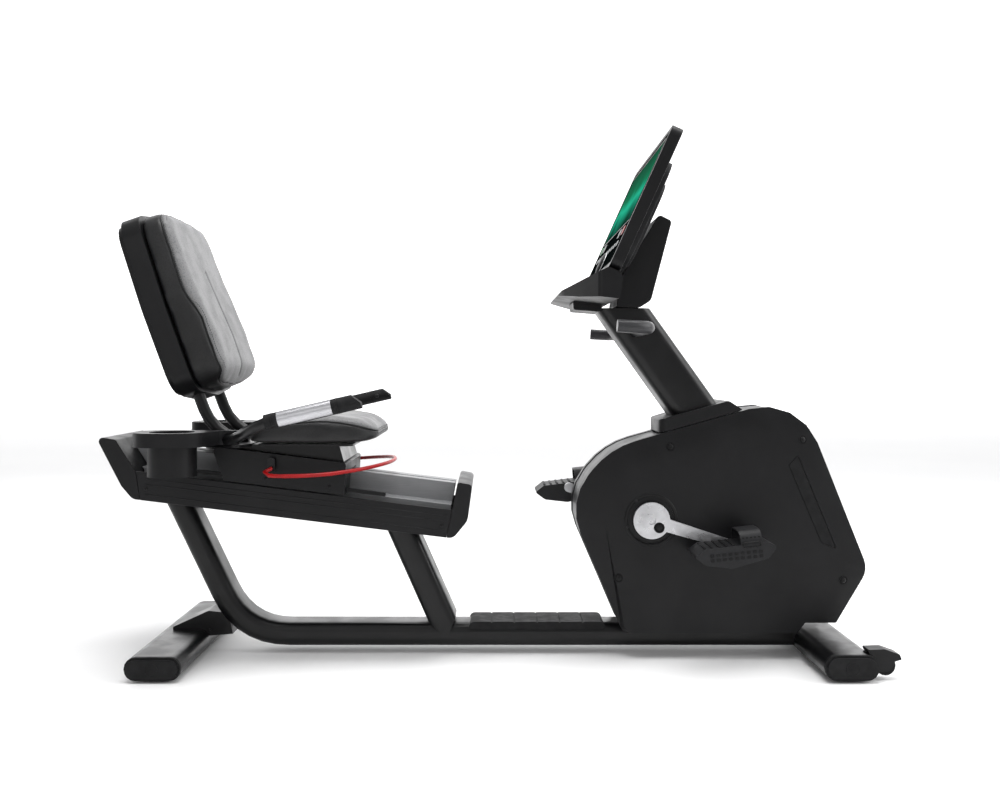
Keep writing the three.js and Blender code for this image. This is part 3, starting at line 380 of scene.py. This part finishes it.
def lathed(bm, profile, at, direction, count=32):
    """Turns (radius, height) pairs in millimetres about a line through at; ends on the axis close it."""
    x, y, z = axes_of(direction)
    rings = []
    for radius, height in profile:
        middle = at + z * height
        if radius < 1e-6:
            rings.append([bm.verts.new(middle * MM)])
            continue
        turn = [2 * math.pi * i / count for i in range(count)]
        spokes = [(x * math.cos(t) + y * math.sin(t)) * radius for t in turn]
        rings.append([bm.verts.new((middle + spoke) * MM) for spoke in spokes])
    for a, b in zip(rings, rings[1:]):
        for i in range(count):
            j = (i + 1) % count
            corners = [a[i % len(a)], a[j % len(a)], b[j % len(b)], b[i % len(b)]]
            bm.faces.new(list(dict.fromkeys(corners)))
    return bm


def tube(bm, points, radius, sides=8, closed=False):
    """A round tube through points, in millimetres."""
    count = len(points)
    rings, across = [], None
    for i, point in enumerate(points):
        before = points[i - 1] if i or closed else point
        after = points[(i + 1) % count] if i + 1 < count or closed else point
        along = (after - before).normalized()
        across = along.orthogonal() if across is None else across - along * across.dot(along)
        across.normalize()
        up = along.cross(across)
        rings.append([
            bm.verts.new((point + (across * math.cos(t) + up * math.sin(t)) * radius) * MM)
            for t in (2 * math.pi * k / sides for k in range(sides))
        ])
    pairs = list(zip(rings, rings[1:]))
    if closed:
        # the frame may come back turned, so the last ring meets the nearest start
        first = rings[0]
        turn = min(range(sides), key=lambda k: (rings[-1][0].co - first[k].co).length)
        pairs.append((rings[-1], first[turn:] + first[:turn]))
    for a, b in pairs:
        for i in range(sides):
            j = (i + 1) % sides
            bm.faces.new((a[i], a[j], b[j], b[i]))
    if not closed:
        bm.faces.new(rings[0][::-1])
        bm.faces.new(rings[-1])
    return bm


def rounded(half_wide, half_high, corner, steps=4):
    """Corners of a rounded rectangle about (0, 0)."""
    points = []
    for cx, cy, start in ((1, 1, 0), (-1, 1, 90), (-1, -1, 180), (1, -1, 270)):
        for i in range(steps + 1):
            t = math.radians(start + 90 * i / steps)
            x = cx * (half_wide - corner) + corner * math.cos(t)
            points.append((x, cy * (half_high - corner) + corner * math.sin(t)))
    return points


def plate(bm, loop, at, right, up, thick, soften=0.4):
    """A plate of a loop outline whose front stands thick millimetres proud of at, with a softened rim."""
    out = right.cross(up)
    middle = Vector((sum(p[0] for p in loop) / len(loop), sum(p[1] for p in loop) / len(loop)))
    layers = []
    steps = ((0, 0), (0, thick - soften), (-soften * 0.3, thick - soften * 0.3), (-soften, thick))
    for grow, height in steps:
        ring = []
        for x, y in loop:
            away = Vector((x, y)) - middle
            flat = Vector((x, y)) + away.normalized() * grow
            ring.append(bm.verts.new((at + right * flat.x + up * flat.y + out * height) * MM))
        layers.append(ring)
    for a, b in zip(layers, layers[1:]):
        for i in range(len(a)):
            j = (i + 1) % len(a)
            bm.faces.new((a[i], a[j], b[j], b[i]))
    bm.faces.new(layers[0][::-1])
    bm.faces.new(layers[-1])
    return bm


def evaluated(obj):
    bpy.context.view_layer.update()
    graph = bpy.context.evaluated_depsgraph_get()
    return bpy.data.meshes.new_from_object(obj.evaluated_get(graph), depsgraph=graph)


def tree_of(mesh):
    corners = [v.co.copy() for v in mesh.vertices]
    return BVHTree.FromPolygons(corners, [tuple(p.vertices) for p in mesh.polygons])


def hit(tree, at, direction):
    """Where a ray in millimetres meets a tree, as (place, normal) in millimetres."""
    place, normal, _, _ = tree.ray_cast(at * MM, direction)
    if place is None:
        place, normal, _, _ = tree.find_nearest(at * MM)
    return place / MM, normal


# ---------- cushions ----------
def puffed(name, node, shrink, pitch, pressure, cap, hold):
    """The CAD block as a foam pad: remeshed, blown up by a cloth run, and held where it rests."""
    source = bpy.data.objects.new(name + "_source", nodes[node].data.copy())
    bpy.context.scene.collection.objects.link(source)
    low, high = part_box(node)
    middle = (low + high) / 2
    size = high - low
    factor = [1 - 2 * shrink * MM / s for s in size]
    shrunk = Matrix.Diagonal((*factor, 1))
    source.data.transform(Matrix.Translation(middle) @ shrunk @ Matrix.Translation(-middle))
    weld = source.modifiers.new("weld", "WELD")
    weld.merge_threshold = 1e-5
    remesh = source.modifiers.new("remesh", "REMESH")
    remesh.mode, remesh.voxel_size = "VOXEL", pitch
    even = evaluated(source)
    bpy.data.objects.remove(source)
    pad = bpy.data.objects.new(name, even)
    bpy.context.scene.collection.objects.link(pad)
    rest = [v.co.copy() for v in even.vertices]
    cloth = pad.modifiers.new("cloth", "CLOTH")
    cloth.settings.quality = 4
    cloth.settings.mass = 0.3
    cloth.settings.tension_stiffness = cloth.settings.compression_stiffness = 14
    cloth.settings.bending_stiffness = 0.6
    cloth.settings.use_pressure = True
    cloth.settings.uniform_pressure_force = pressure
    cloth.settings.effector_weights.gravity = 0
    cloth.point_cache.frame_start, cloth.point_cache.frame_end = 1, 20
    for step in range(1, 21):
        bpy.context.scene.frame_set(step)
    blown = evaluated(pad)
    bpy.context.scene.frame_set(1)
    pad.modifiers.clear()
    for vertex, start, moved in zip(even.vertices, rest, blown.vertices):
        shift = moved.co - start
        if shift.length > cap * MM:
            shift *= cap * MM / shift.length
        vertex.co = start + shift * hold(start / MM)
    bpy.data.meshes.remove(blown)
    calm = pad.modifiers.new("calm", "SMOOTH")
    calm.factor, calm.iterations = 0.5, 22
    pad.modifiers.new("finer", "SUBSURF").levels = 1
    pad.modifiers["finer"].render_levels = 1
    fine = evaluated(pad)
    pad.modifiers.clear()
    pad.data = fine
    return pad


def sew(mesh, path, width, depth, closed=True):
    """Draws the skin in along a path of points in millimetres."""
    dense = []
    for a, b in zip(path, path[1:] + path[:1] if closed else path[1:]):
        count = max(1, round((b - a).length / 2.0))
        dense += [a.lerp(b, i / count) for i in range(count)]
    near = KDTree(len(dense))
    for i, point in enumerate(dense):
        near.insert(point, i)
    near.balance()
    normals = [v.normal.copy() for v in mesh.vertices]
    for vertex, normal in zip(mesh.vertices, normals):
        _, _, gap = near.find(vertex.co / MM)
        if gap < width * 3:
            vertex.co -= normal * depth * MM * math.exp(-((gap / width) ** 2))


def on_skin(mesh, path, lift):
    """The path's points moved onto the skin, lifted by lift millimetres."""
    skin = tree_of(mesh)
    placed = []
    for point in path:
        place, normal, _, _ = skin.find_nearest(point * MM)
        placed.append(place / MM + normal * lift)
    return placed


def stitches(name, path, body, pitch=5.2, length=3.6, radius=0.55):
    """Short thread stitches along a closed path."""
    bm = bmesh.new()
    total = 0.0
    points = []
    for a, b in zip(path, path[1:] + path[:1]):
        step = (b - a).length
        while total < step:
            points.append((a.lerp(b, total / step), (b - a).normalized()))
            total += pitch
        total -= step
    for at, along in points:
        half = along * length / 2
        tube(bm, [at - half, at - half * 0.6 + Vector((0, 0, 0.15)), at + half * 0.6, at + half], radius, 5)
    return link(name, from_bmesh(name, bm), body, "thread")


def eased(share):
    """0 below 0, 1 above 1, and a smooth step between."""
    share = min(1.0, max(0.0, share))
    return share * share * (3 - 2 * share)


# The seat's top panel is highest a little in front of the seat's middle and droops to both ends.
SEAT_LOW, SEAT_HIGH = (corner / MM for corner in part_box("seat_cushion"))
SEAT_CROWN = SEAT_HIGH.x - 135
SEAT_CROWN_Z = SEAT_HIGH.z - 8
FRONT_DROOP, REAR_DROOP = 28, 11


def seat_edge(x):
    """How high the seat's top panel ends at x."""
    ahead = max(0.0, (x - SEAT_CROWN) / (SEAT_HIGH.x - SEAT_CROWN))
    behind = max(0.0, (SEAT_CROWN - x) / (SEAT_CROWN - SEAT_LOW.x))
    return SEAT_CROWN_Z - FRONT_DROOP * ahead ** 2 - REAR_DROOP * behind


def seat_seam():
    """A loop round the seat, where its top panel meets its boxing."""
    skin = tree_of(seat.data)
    loop = []
    for i in range(120):
        t = 2 * math.pi * i / 120
        way = Vector((math.cos(t), math.sin(t), 0))
        height = 520
        for _ in range(5):
            place, _ = hit(skin, Vector((-385, 0, height)) + way * 600, -way)
            height = seat_edge(place.x)
        loop.append(place)
    return loop


PAD_SHRINK, PAD_PITCH, PAD_PRESSURE, PAD_CAP = 3.0, 0.0055, 2.4, 6.0
WELT = 1.9
seat = puffed("seat_pad", "seat_cushion", PAD_SHRINK, PAD_PITCH, PAD_PRESSURE, PAD_CAP,
              lambda p: 0.1 if p.z < 499 else min(1.0, 0.1 + (p.z - 499) / 14))
line = seat_seam()
sew(seat.data, line, 4.0, 2.6)
seat.data.update()
welt = on_skin(seat.data, line, 0.9)
seat.data.materials.clear()
seat.data.materials.append(M["vinyl_painted_light"])
seat.data.materials.append(M["vinyl_side"])
# Faces above the seam take the light grey copy, which is painted light; the boxing below keeps the
# near-black vinyl.
for face in seat.data.polygons:
    middle = face.center / MM
    face.material_index = middle.z < seat_edge(middle.x) - 0.5
seat.data.shade_smooth()
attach(seat, "seat")
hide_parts("seat_cushion")
piping = from_bmesh("seat_welt", tube(bmesh.new(), welt, WELT, 8, True))
link("seat_welt", piping, "seat", "vinyl")
stitch_line = on_skin(seat.data, [p + Vector((0, 0, -7)) for p in line], 0.25)
stitches("seat_stitches", stitch_line, "seat")


def back_point(n, y, w):
    return BACK_AT + BACK_OUT * n + BACK_UP * w + Vector((0, y, 0))


def back_seam(skin, depths):
    """A loop round the backrest where the front panel meets its boxing; depths gives n at each height."""
    loop = []
    for i in range(140):
        t = 2 * math.pi * i / 140
        way = (Vector((0, math.cos(t), 0)) + BACK_UP * math.sin(t)).normalized()
        w = 180
        for _ in range(4):
            place, _ = hit(skin, back_point(depths(w), 0, 180) + way * 600, -way)
            w = (place - BACK_AT).dot(BACK_UP)
        loop.append(place)
    return loop


# How far the seam of the back panel stands off the backrest's foot plane: at the lumbar swell,
# above it, and how much it gives way round the bottom and the top.
LUMBAR_SEAM, UPPER_SEAM, BOTTOM_ROUND, TOP_ROUND = 102, 84, 28, 6
SWELL_ENDS, SWELL_FADE = 115, 90


def front_edge(w):
    """How far forward the front panel's edge lies at height w on the backrest."""
    upper = eased((w - SWELL_ENDS) / SWELL_FADE)
    seam = LUMBAR_SEAM + (UPPER_SEAM - LUMBAR_SEAM) * upper
    return seam - BOTTOM_ROUND * eased((8 - w) / 36) - TOP_ROUND * eased((w - 340) / 70)


def back_hold(p):
    n = (p - BACK_AT).dot(BACK_OUT)
    return 0.05 if n < 44 else min(1.0, 0.05 + (n - 44) / 22)


back = puffed("back_pad", "back_cushion", PAD_SHRINK, PAD_PITCH, PAD_PRESSURE, PAD_CAP, back_hold)
skin = tree_of(back.data)
panel_line = back_seam(skin, front_edge)
sew(back.data, panel_line, 4.0, 3.0)
middle_line = [hit(skin, back_point(160, 0, w), -BACK_OUT)[0] for w in range(-8, 252, 10)]
sew(back.data, middle_line, 4.5, 3.4, False)
back.data.update()
back_welt = on_skin(back.data, panel_line, 0.9)
piping = from_bmesh("back_welt", tube(bmesh.new(), back_welt, WELT, 8, True))
link("back_welt", piping, "seat", "vinyl")
inner = []
for point in panel_line:
    middle = back_point((point - BACK_AT).dot(BACK_OUT) + 4, 0, (point - BACK_AT).dot(BACK_UP))
    centre = back_point(100, 0, 180)
    inner.append(point.lerp(Vector((centre.x, centre.y, centre.z)), 0.05) + BACK_OUT * 2)
stitches("back_stitches", on_skin(back.data, inner, 0.25), "seat")
back.data.materials.clear()
back.data.materials.append(M["vinyl_painted_light"])
back.data.materials.append(M["vinyl_side"])
# Faces in front of the seam take the light grey copy, which is painted light; the boxing behind keeps the
# near-black vinyl.
for face in back.data.polygons:
    from_foot = face.center / MM - BACK_AT
    face.material_index = from_foot.dot(BACK_OUT) < front_edge(from_foot.dot(BACK_UP)) - 0.5
back.data.shade_smooth()
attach(back, "seat")
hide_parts("back_cushion")


# ---------- moulded and fitted details ----------
def skin_of(node):
    return tree_of(nodes[node].data)


def screw(bm, dark, at, out, radius=6.0, sink=0.9):
    """A button-head screw with a hexagonal socket, its head standing a little proud of at."""
    profile = [(radius, -0.8), (radius, sink), (radius * 0.86, sink + 0.9),
               (radius * 0.5, sink + 1.3), (0, sink + 1.35)]
    lathed(bm, profile, at, out, 20)
    # The socket is a dark hexagonal cap on the head: painted shade in place of the hollow.
    lathed(dark, [(radius * 0.42, sink + 1.0), (radius * 0.42, sink + 1.5), (0, sink + 1.45)], at, out, 6)


def screws(name, spots, body, size=6.0, finish="dark_panel"):
    heads, sockets = bmesh.new(), bmesh.new()
    for at, out in spots:
        screw(heads, sockets, at, out, size)
    link(name, from_bmesh(name, heads), body, finish)
    link(name + "_sockets", from_bmesh(name + "_sockets", sockets), body, "recess")


def side_hit(skin, x, z, side):
    """Where the outer side of a shroud half lies at x, z."""
    return hit(skin, Vector((x, side * 200, z)), Vector((0, -side, 0)))


SHROUD_SCREWS = ((405, 477), (702, 493), (288, 183.5), (792, 178))
for name, side in (("right", -1), ("left", 1)):
    skin = skin_of("shroud_" + name)
    spots, wells = [], bmesh.new()
    for x, z in SHROUD_SCREWS:
        at, out = side_hit(skin, x, z, side)
        spots.append((at, out))
        # Each screw sits in a shallow dish coloured near-black: painted shade in the well.
        lathed(wells, [(10.5, -0.6), (10.5, 0.35), (9.6, 0.6), (8.6, 0.15), (0, 0.12)], at, out, 24)
    screws(f"shroud_screws_{name}", spots, "frame")
    link(f"shroud_screw_wells_{name}", from_bmesh("wells", wells), "frame", "recess")
    # the dish round the crank boss: a soft rim
    at, _ = side_hit(skin, CRANK_AT.x + 66, CRANK_AT.z, side)
    middle = Vector((CRANK_AT.x, at.y, CRANK_AT.z))
    dish = lathed(bmesh.new(), [(60, -0.4), (59.6, 1.0), (57.5, 1.7), (54.5, 1.5), (52.5, 0.5), (52, -0.3)],
                  middle, Vector((0, side, 0)), 64)
    link(f"crank_dish_rim_{name}", from_bmesh("rim", dish), "frame", "dark_panel")
    # two little tabs on the dish cover
    tabs = bmesh.new()
    for turn in (128, 196):
        t = math.radians(turn)
        spot = middle + Vector((math.cos(t) * 55, side * 1.2, math.sin(t) * 55))
        lathed(tabs, [(3.4, -0.6), (3.4, 0.8), (2.6, 1.4), (0, 1.5)], spot, Vector((0, side, 0)), 14)
    link(f"crank_dish_tabs_{name}", from_bmesh("tabs", tabs), "frame", "grey_plastic")

# crank bolts in their bores
for name, side in (("right", -1), ("left", 1)):
    low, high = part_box("crank_arm_" + name)
    face = (low.y if side < 0 else high.y) / MM
    # The bore round the bolt is coloured near-black: painted shade in the recess.
    bore = lathed(bmesh.new(), [(11.5, -1.0), (11.5, 0.25), (10.6, 0.5), (9.4, 0.2), (9.2, -0.6), (0, -0.6)],
                  CRANK_AT + Vector((0, face, 0)), Vector((0, side, 0)), 32)
    link(f"crank_bolt_well_{name}", from_bmesh("well", bore), "crank", "recess")
    bolt = lathed(bmesh.new(), [(7, -0.5), (7, 0.0), (6.2, 0.35), (0, 0.4)],
                  CRANK_AT + Vector((0, face, 0)), Vector((0, side, 0)), 6)
    link(f"crank_bolt_{name}", from_bmesh("bolt", bolt), "crank", "dark_panel")

# pedals: tread bars across the top, pads on the outer side, and a strap with holes and a buckle
TILT = math.radians(6)
PEDAL_UP = Vector((-math.sin(TILT), 0, math.cos(TILT)))
PEDAL_ALONG = Vector((math.cos(TILT), 0, math.sin(TILT)))
CRANK_LENGTH, CRANK_TURN = 170, math.radians(-17)


def pedal_side(x, rise):
    """The pedal's outer side, x along it and rise above its spindle."""
    start = spindle + PEDAL_ALONG * x + PEDAL_UP * rise + Vector((0, side * 300, 0))
    return hit(skin, start, Vector((0, -side, 0)))[0]


for name, side, spin in (("right", -1, 1), ("left", 1, -1)):
    body = "pedal_" + name
    reach = Vector((math.cos(CRANK_TURN), 0, math.sin(CRANK_TURN)))
    spindle = CRANK_AT + reach * CRANK_LENGTH * spin
    skin = skin_of(body)
    treads = bmesh.new()
    for i in range(9):
        x = -64 + i * 15.5
        top, _ = hit(skin, spindle + PEDAL_ALONG * x + PEDAL_UP * 60 + Vector((0, side * 128, 0)), -PEDAL_UP)
        if 8 < x < 62:
            continue
        bar = top + Vector((0, side * 40, 0))
        plate(treads, rounded(2.4, 41, 1.4, 2), bar - PEDAL_UP * 0.2, PEDAL_ALONG, Vector((0, 1, 0)), 2.0)
    link(f"pedal_treads_{name}", from_bmesh("treads", treads), body, "rubber")
    ribs = bmesh.new()
    for rise in (-4, -14):
        for i in range(9):
            spot = pedal_side(-52 + i * 13, rise)
            plate(ribs, rounded(4.4, 3.4, 1.2, 2), spot, PEDAL_ALONG * -side, PEDAL_UP, 0.9, 0.3)
    link(f"pedal_side_pads_{name}", from_bmesh("pads", ribs), body, "rubber")
    # The strap holes are dark discs on the strap's face: painted shade in place of the openings.
    holes = bmesh.new()
    for i in range(5):
        spot = pedal_side(18 + i * 8.5, 26)
        lathed(holes, [(2.2, -0.3), (2.2, 0.25), (1.6, 0.3), (0, 0.1)], spot, Vector((0, side, 0)), 14)
    link(f"pedal_strap_holes_{name}", from_bmesh("holes", holes), body, "recess")
    buckle = bmesh.new()
    spot = pedal_side(35, 12) + Vector((0, side * 0.8, 0))
    tube(buckle, [spot + PEDAL_ALONG * a + PEDAL_UP * b for a, b in rounded(19, 5, 3, 3)], 1.5, 6, True)
    link(f"pedal_buckle_{name}", from_bmesh("buckle", buckle), body, "dark_panel")

# grips: rings moulded at both ends of the pulse plate
ALONG_GRIP = Vector((math.cos(GRIP_RISE), 0, math.sin(GRIP_RISE)))
for name, side in (("right", -1), ("left", 1)):
    rings = bmesh.new()
    for back in (44, 48, 52, 180, 184, 188):
        spot = GRIP_TIP - ALONG_GRIP * back + Vector((0, side * GRIP_Y, 0))
        x, y, z = axes_of(ALONG_GRIP)
        turns = [2 * math.pi * k / 36 for k in range(36)]
        circle = [spot + (x * math.cos(a) + y * math.sin(a)) * 16.0 for a in turns]
        tube(rings, circle, 0.75, 6, True)
    link(f"grip_rings_{name}", from_bmesh("rings", rings), "seat", "rubber")

# rail cover: long ridges down each side, and screws by its ends
for name, side in (("right", -1), ("left", 1)):
    skin = skin_of("rail_cover")
    ridges = bmesh.new()
    for v in (-14, -26, -48):
        line = []
        for i in range(12):
            u = -320 + i * (665 / 11)
            at = RAIL_AT + RAIL_ALONG * u + RAIL_UP * v + Vector((0, side * 220, 0))
            place, _ = hit(skin, at, Vector((0, -side, 0)))
            line.append(place)
        tube(ridges, line, 0.9, 6)
    link(f"rail_cover_ridges_{name}", from_bmesh("ridges", ridges), "frame", "black_plastic")
    spots = []
    for u, v in ((-318, -36), (338, -36)):
        at = RAIL_AT + RAIL_ALONG * u + RAIL_UP * v + Vector((0, side * 220, 0))
        spots.append(hit(skin, at, Vector((0, -side, 0))))
    screws(f"rail_cover_screws_{name}", spots, "frame", 4.2)

# carriage: screws along each skirt
for name, side in (("right", -1), ("left", 1)):
    skin = skin_of("carriage_housing")
    spots = []
    for u, v in ((-205, 18), (-60, 18), (82, 18)):
        at = RAIL_AT + RAIL_ALONG * u + RAIL_UP * v + Vector((0, side * 300, 0))
        found = skin.ray_cast(at * MM, Vector((0, -side, 0)))
        if found[0] is not None and abs(found[0].y) > 0.12:
            spots.append((found[0] / MM, found[1]))
    if spots:
        screws(f"carriage_screws_{name}", spots, "seat", 4.0)


# console: generic controls on the face below the picture
def face_at(y, p, q=0.8):
    """A point on the console's face: y across, p up from its foot, q into it."""
    return FACE_FOOT + FACE_UP * p + FACE_IN * q + Vector((0, y, 0))


FACE_OUT, FACE_RIGHT = -FACE_IN, Vector((0, -1, 0))
keys = {"key_white": [], "key_green": [], "key_red": []}
for i in range(-4, 5):
    keys["key_white"].append((i * 52, 62, 15, 6))
for y, finish in ((-215, "key_red"), (-150, "key_white"), (150, "key_white"), (215, "key_green")):
    keys[finish].append((y, 92, 19, 10))
for finish, spots in keys.items():
    bm = bmesh.new()
    for y, p, wide, high in spots:
        plate(bm, rounded(wide, high, 5), face_at(y, p), FACE_RIGHT, FACE_UP, 1.1)
    link("console_" + finish, from_bmesh(finish, bm), "frame", finish)
bezel = bmesh.new()
loop = rounded(258, 93, 9, 5)
tube(bezel, [face_at(-x, 204.5 + y, 0.9) for x, y in loop], 1.3, 6, True)
link("display_bezel", from_bmesh("bezel", bezel), "frame", "dark_panel")
dial = bmesh.new()
lathed(dial, [(26, 0), (26, 3), (24, 5.5), (19, 7.2), (0, 7.4)], face_at(0, 34, 0.8), FACE_OUT, 40)
link("console_dial", from_bmesh("dial", dial), "frame", "grey_plastic")
ring = bmesh.new()
turns = [2 * math.pi * k / 48 for k in range(48)]
tube(ring, [face_at(30 * math.cos(a), 34 + 30 * math.sin(a), 0.6) for a in turns], 1.2, 6, True)
link("console_dial_ring", from_bmesh("ring", ring), "frame", "silver")

# console back: vent slots and screws
skin = skin_of("console_back_cover")
# The vent slots are dark plates standing on the cover: painted shade in place of openings.
slots = bmesh.new()
for i in range(9):
    at = face_at(0, 150 + i * 9, 90)
    place, _ = hit(skin, at, FACE_OUT)
    plate(slots, rounded(62, 1.6, 1.5, 3), place, Vector((0, 1, 0)), FACE_UP, 0.5, 0.2)
link("console_vents", from_bmesh("slots", slots), "frame", "recess")
spots = []
for y, p in ((-170, 60), (170, 60), (-170, 225), (170, 225)):
    spots.append(hit(skin, face_at(y, p, 90), FACE_OUT))
screws("console_screws", spots, "frame", 4.5)


# weld beads where the feet meet the beam
def bead(name, points, closed=True):
    bm = bmesh.new()
    dense = []
    for a, b in zip(points, points[1:] + points[:1]) if closed else zip(points, points[1:]):
        count = max(2, round((b - a).length / 4))
        dense += [a.lerp(b, i / count) for i in range(count)]
    path = [p + Vector((0, 0, 0.5 * (i % 2))) for i, p in enumerate(dense)]
    tube(bm, path, 2.6, 8, closed)
    return link(name, from_bmesh(name, bm), "frame", "frame_paint")


for name, node in (("rear", "rear_foot_tube"), ("front", "front_foot_tube")):
    low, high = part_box(node)
    for end, x in (("back", low.x / MM), ("fore", high.x / MM)):
        skin = skin_of("main_frame")
        top = skin.ray_cast(Vector((x * MM, 0, 0.2)), Vector((0, 0, -1)))[0]
        if top is None:
            continue
        level = min(top.z, high.z) / MM
        bead(f"weld_{name}_{end}", [Vector((x, y, level)) for y in (-38, -19, 0, 19, 38)], False)

# feet: a moulded ring on each end cap
for end in ("rear", "front"):
    for name, side in (("right", -1), ("left", 1)):
        low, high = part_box(f"{end}_foot_cap_{name}")
        middle = (low + high) / 2 / MM
        face = (low.y if side < 0 else high.y) / MM
        skin = skin_of(f"{end}_foot_cap_{name}")
        at, _ = hit(skin, Vector((middle.x, face + side * 30, middle.z)), Vector((0, -side, 0)))
        ring = lathed(bmesh.new(), [(15, -0.5), (14.6, 0.5), (13.4, 0.9), (12.4, 0.4), (12, -0.3)],
                      at, Vector((0, side, 0)), 40)
        link(f"{end}_cap_ring_{name}", from_bmesh("ring", ring), "frame", "rubber")

# transport wheels: a hub cap on each face
for name, side in (("right", -1), ("left", 1)):
    low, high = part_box("transport_wheel_" + name)
    middle = (low + high) / 2 / MM
    for way in (-1, 1):
        face = (low.y if way < 0 else high.y) / MM
        hub = lathed(bmesh.new(), [(13, -0.5), (12.6, 0.2), (11, 0.4), (9.4, 0.1), (9, -0.4)],
                     Vector((middle.x, face, middle.z)), Vector((0, way, 0)), 32)
        end = "in" if way == -side else "out"
        hub_mesh = from_bmesh("hub", hub)
        link(f"wheel_hub_{name}_{end}", hub_mesh, "wheel_" + name, "grey_plastic")


# ---------- stage, light and camera ----------
def area(name, at, aim, power, wide, high, colour=(1, 1, 1)):
    lamp = bpy.data.lights.new(name, "AREA")
    lamp.shape, lamp.size, lamp.size_y = "RECTANGLE", wide, high
    lamp.energy, lamp.color = power, colour
    holder = bpy.data.objects.new(name, lamp)
    bpy.context.scene.collection.objects.link(holder)
    holder.location, holder.visible_camera = at, False
    holder.rotation_mode = "QUATERNION"
    holder.rotation_quaternion = (Vector(aim) - Vector(at)).to_track_quat("-Z", "Y")


floor_mesh = bmesh.new()
bmesh.ops.create_grid(floor_mesh, x_segments=8, y_segments=8, size=30)
floor = bpy.data.objects.new("studio_floor", from_bmesh("studio_floor", floor_mesh))
floor.data.materials.append(studio_floor())
floor.location.z = -0.0005
bpy.context.scene.collection.objects.link(floor)

bpy.context.scene.view_settings.view_transform = "Standard"
PALE = (0.97, 0.97, 0.975, 1)
wall_paper = Surface("studio_wall", (0.9, 0.9, 0.9), 0.8)
wall_paper.shader.inputs["Emission Color"].default_value = PALE
wall_paper.shader.inputs["Emission Strength"].default_value = 0.95
wall_mesh = bpy.data.meshes.new("studio_wall")
WALL_Y, WALL_HALF, WALL_TOP = 9, 30, 14
corners = [(-WALL_HALF, -0.01), (WALL_HALF, -0.01), (WALL_HALF, WALL_TOP), (-WALL_HALF, WALL_TOP)]
wall_mesh.from_pydata([(x, WALL_Y, z) for x, z in corners], [], [(0, 1, 2, 3)])
wall = bpy.data.objects.new("studio_wall", wall_mesh)
wall.data.materials.append(wall_paper.done())
bpy.context.scene.collection.objects.link(wall)

world = bpy.data.worlds.new("studio")
bpy.context.scene.world = world
world.use_nodes = True
sky = world.node_tree.nodes["Background"]
sky.inputs["Color"].default_value = PALE
sky.inputs["Strength"].default_value = 0.55
area("overhead", (0.2, -0.2, 3.4), (0, 0, 0.4), 120, 3.0, 2.0)
area("front_side", (3.2, -0.5, 1.9), (-0.1, 0, 0.55), 62, 2.0, 2.2)
area("camera_fill", (-1.4, -3.4, 1.7), (0, 0, 0.5), 10, 2.4, 1.6)
area("back_wash", (0.3, 3.4, 1.5), (0, 0, 0.5), 16, 5.5, 2.6)

camera_data = bpy.data.cameras.new("camera")
camera_data.lens, camera_data.sensor_width = 38.7, 36.0
camera_data.shift_x, camera_data.shift_y = 0.010, -0.0305
camera = bpy.data.objects.new("camera", camera_data)
camera.location = (0.0, -2.5, 0.656)
camera.rotation_euler = (math.radians(90), 0, 0)
bpy.context.scene.collection.objects.link(camera)
bpy.context.scene.camera = camera
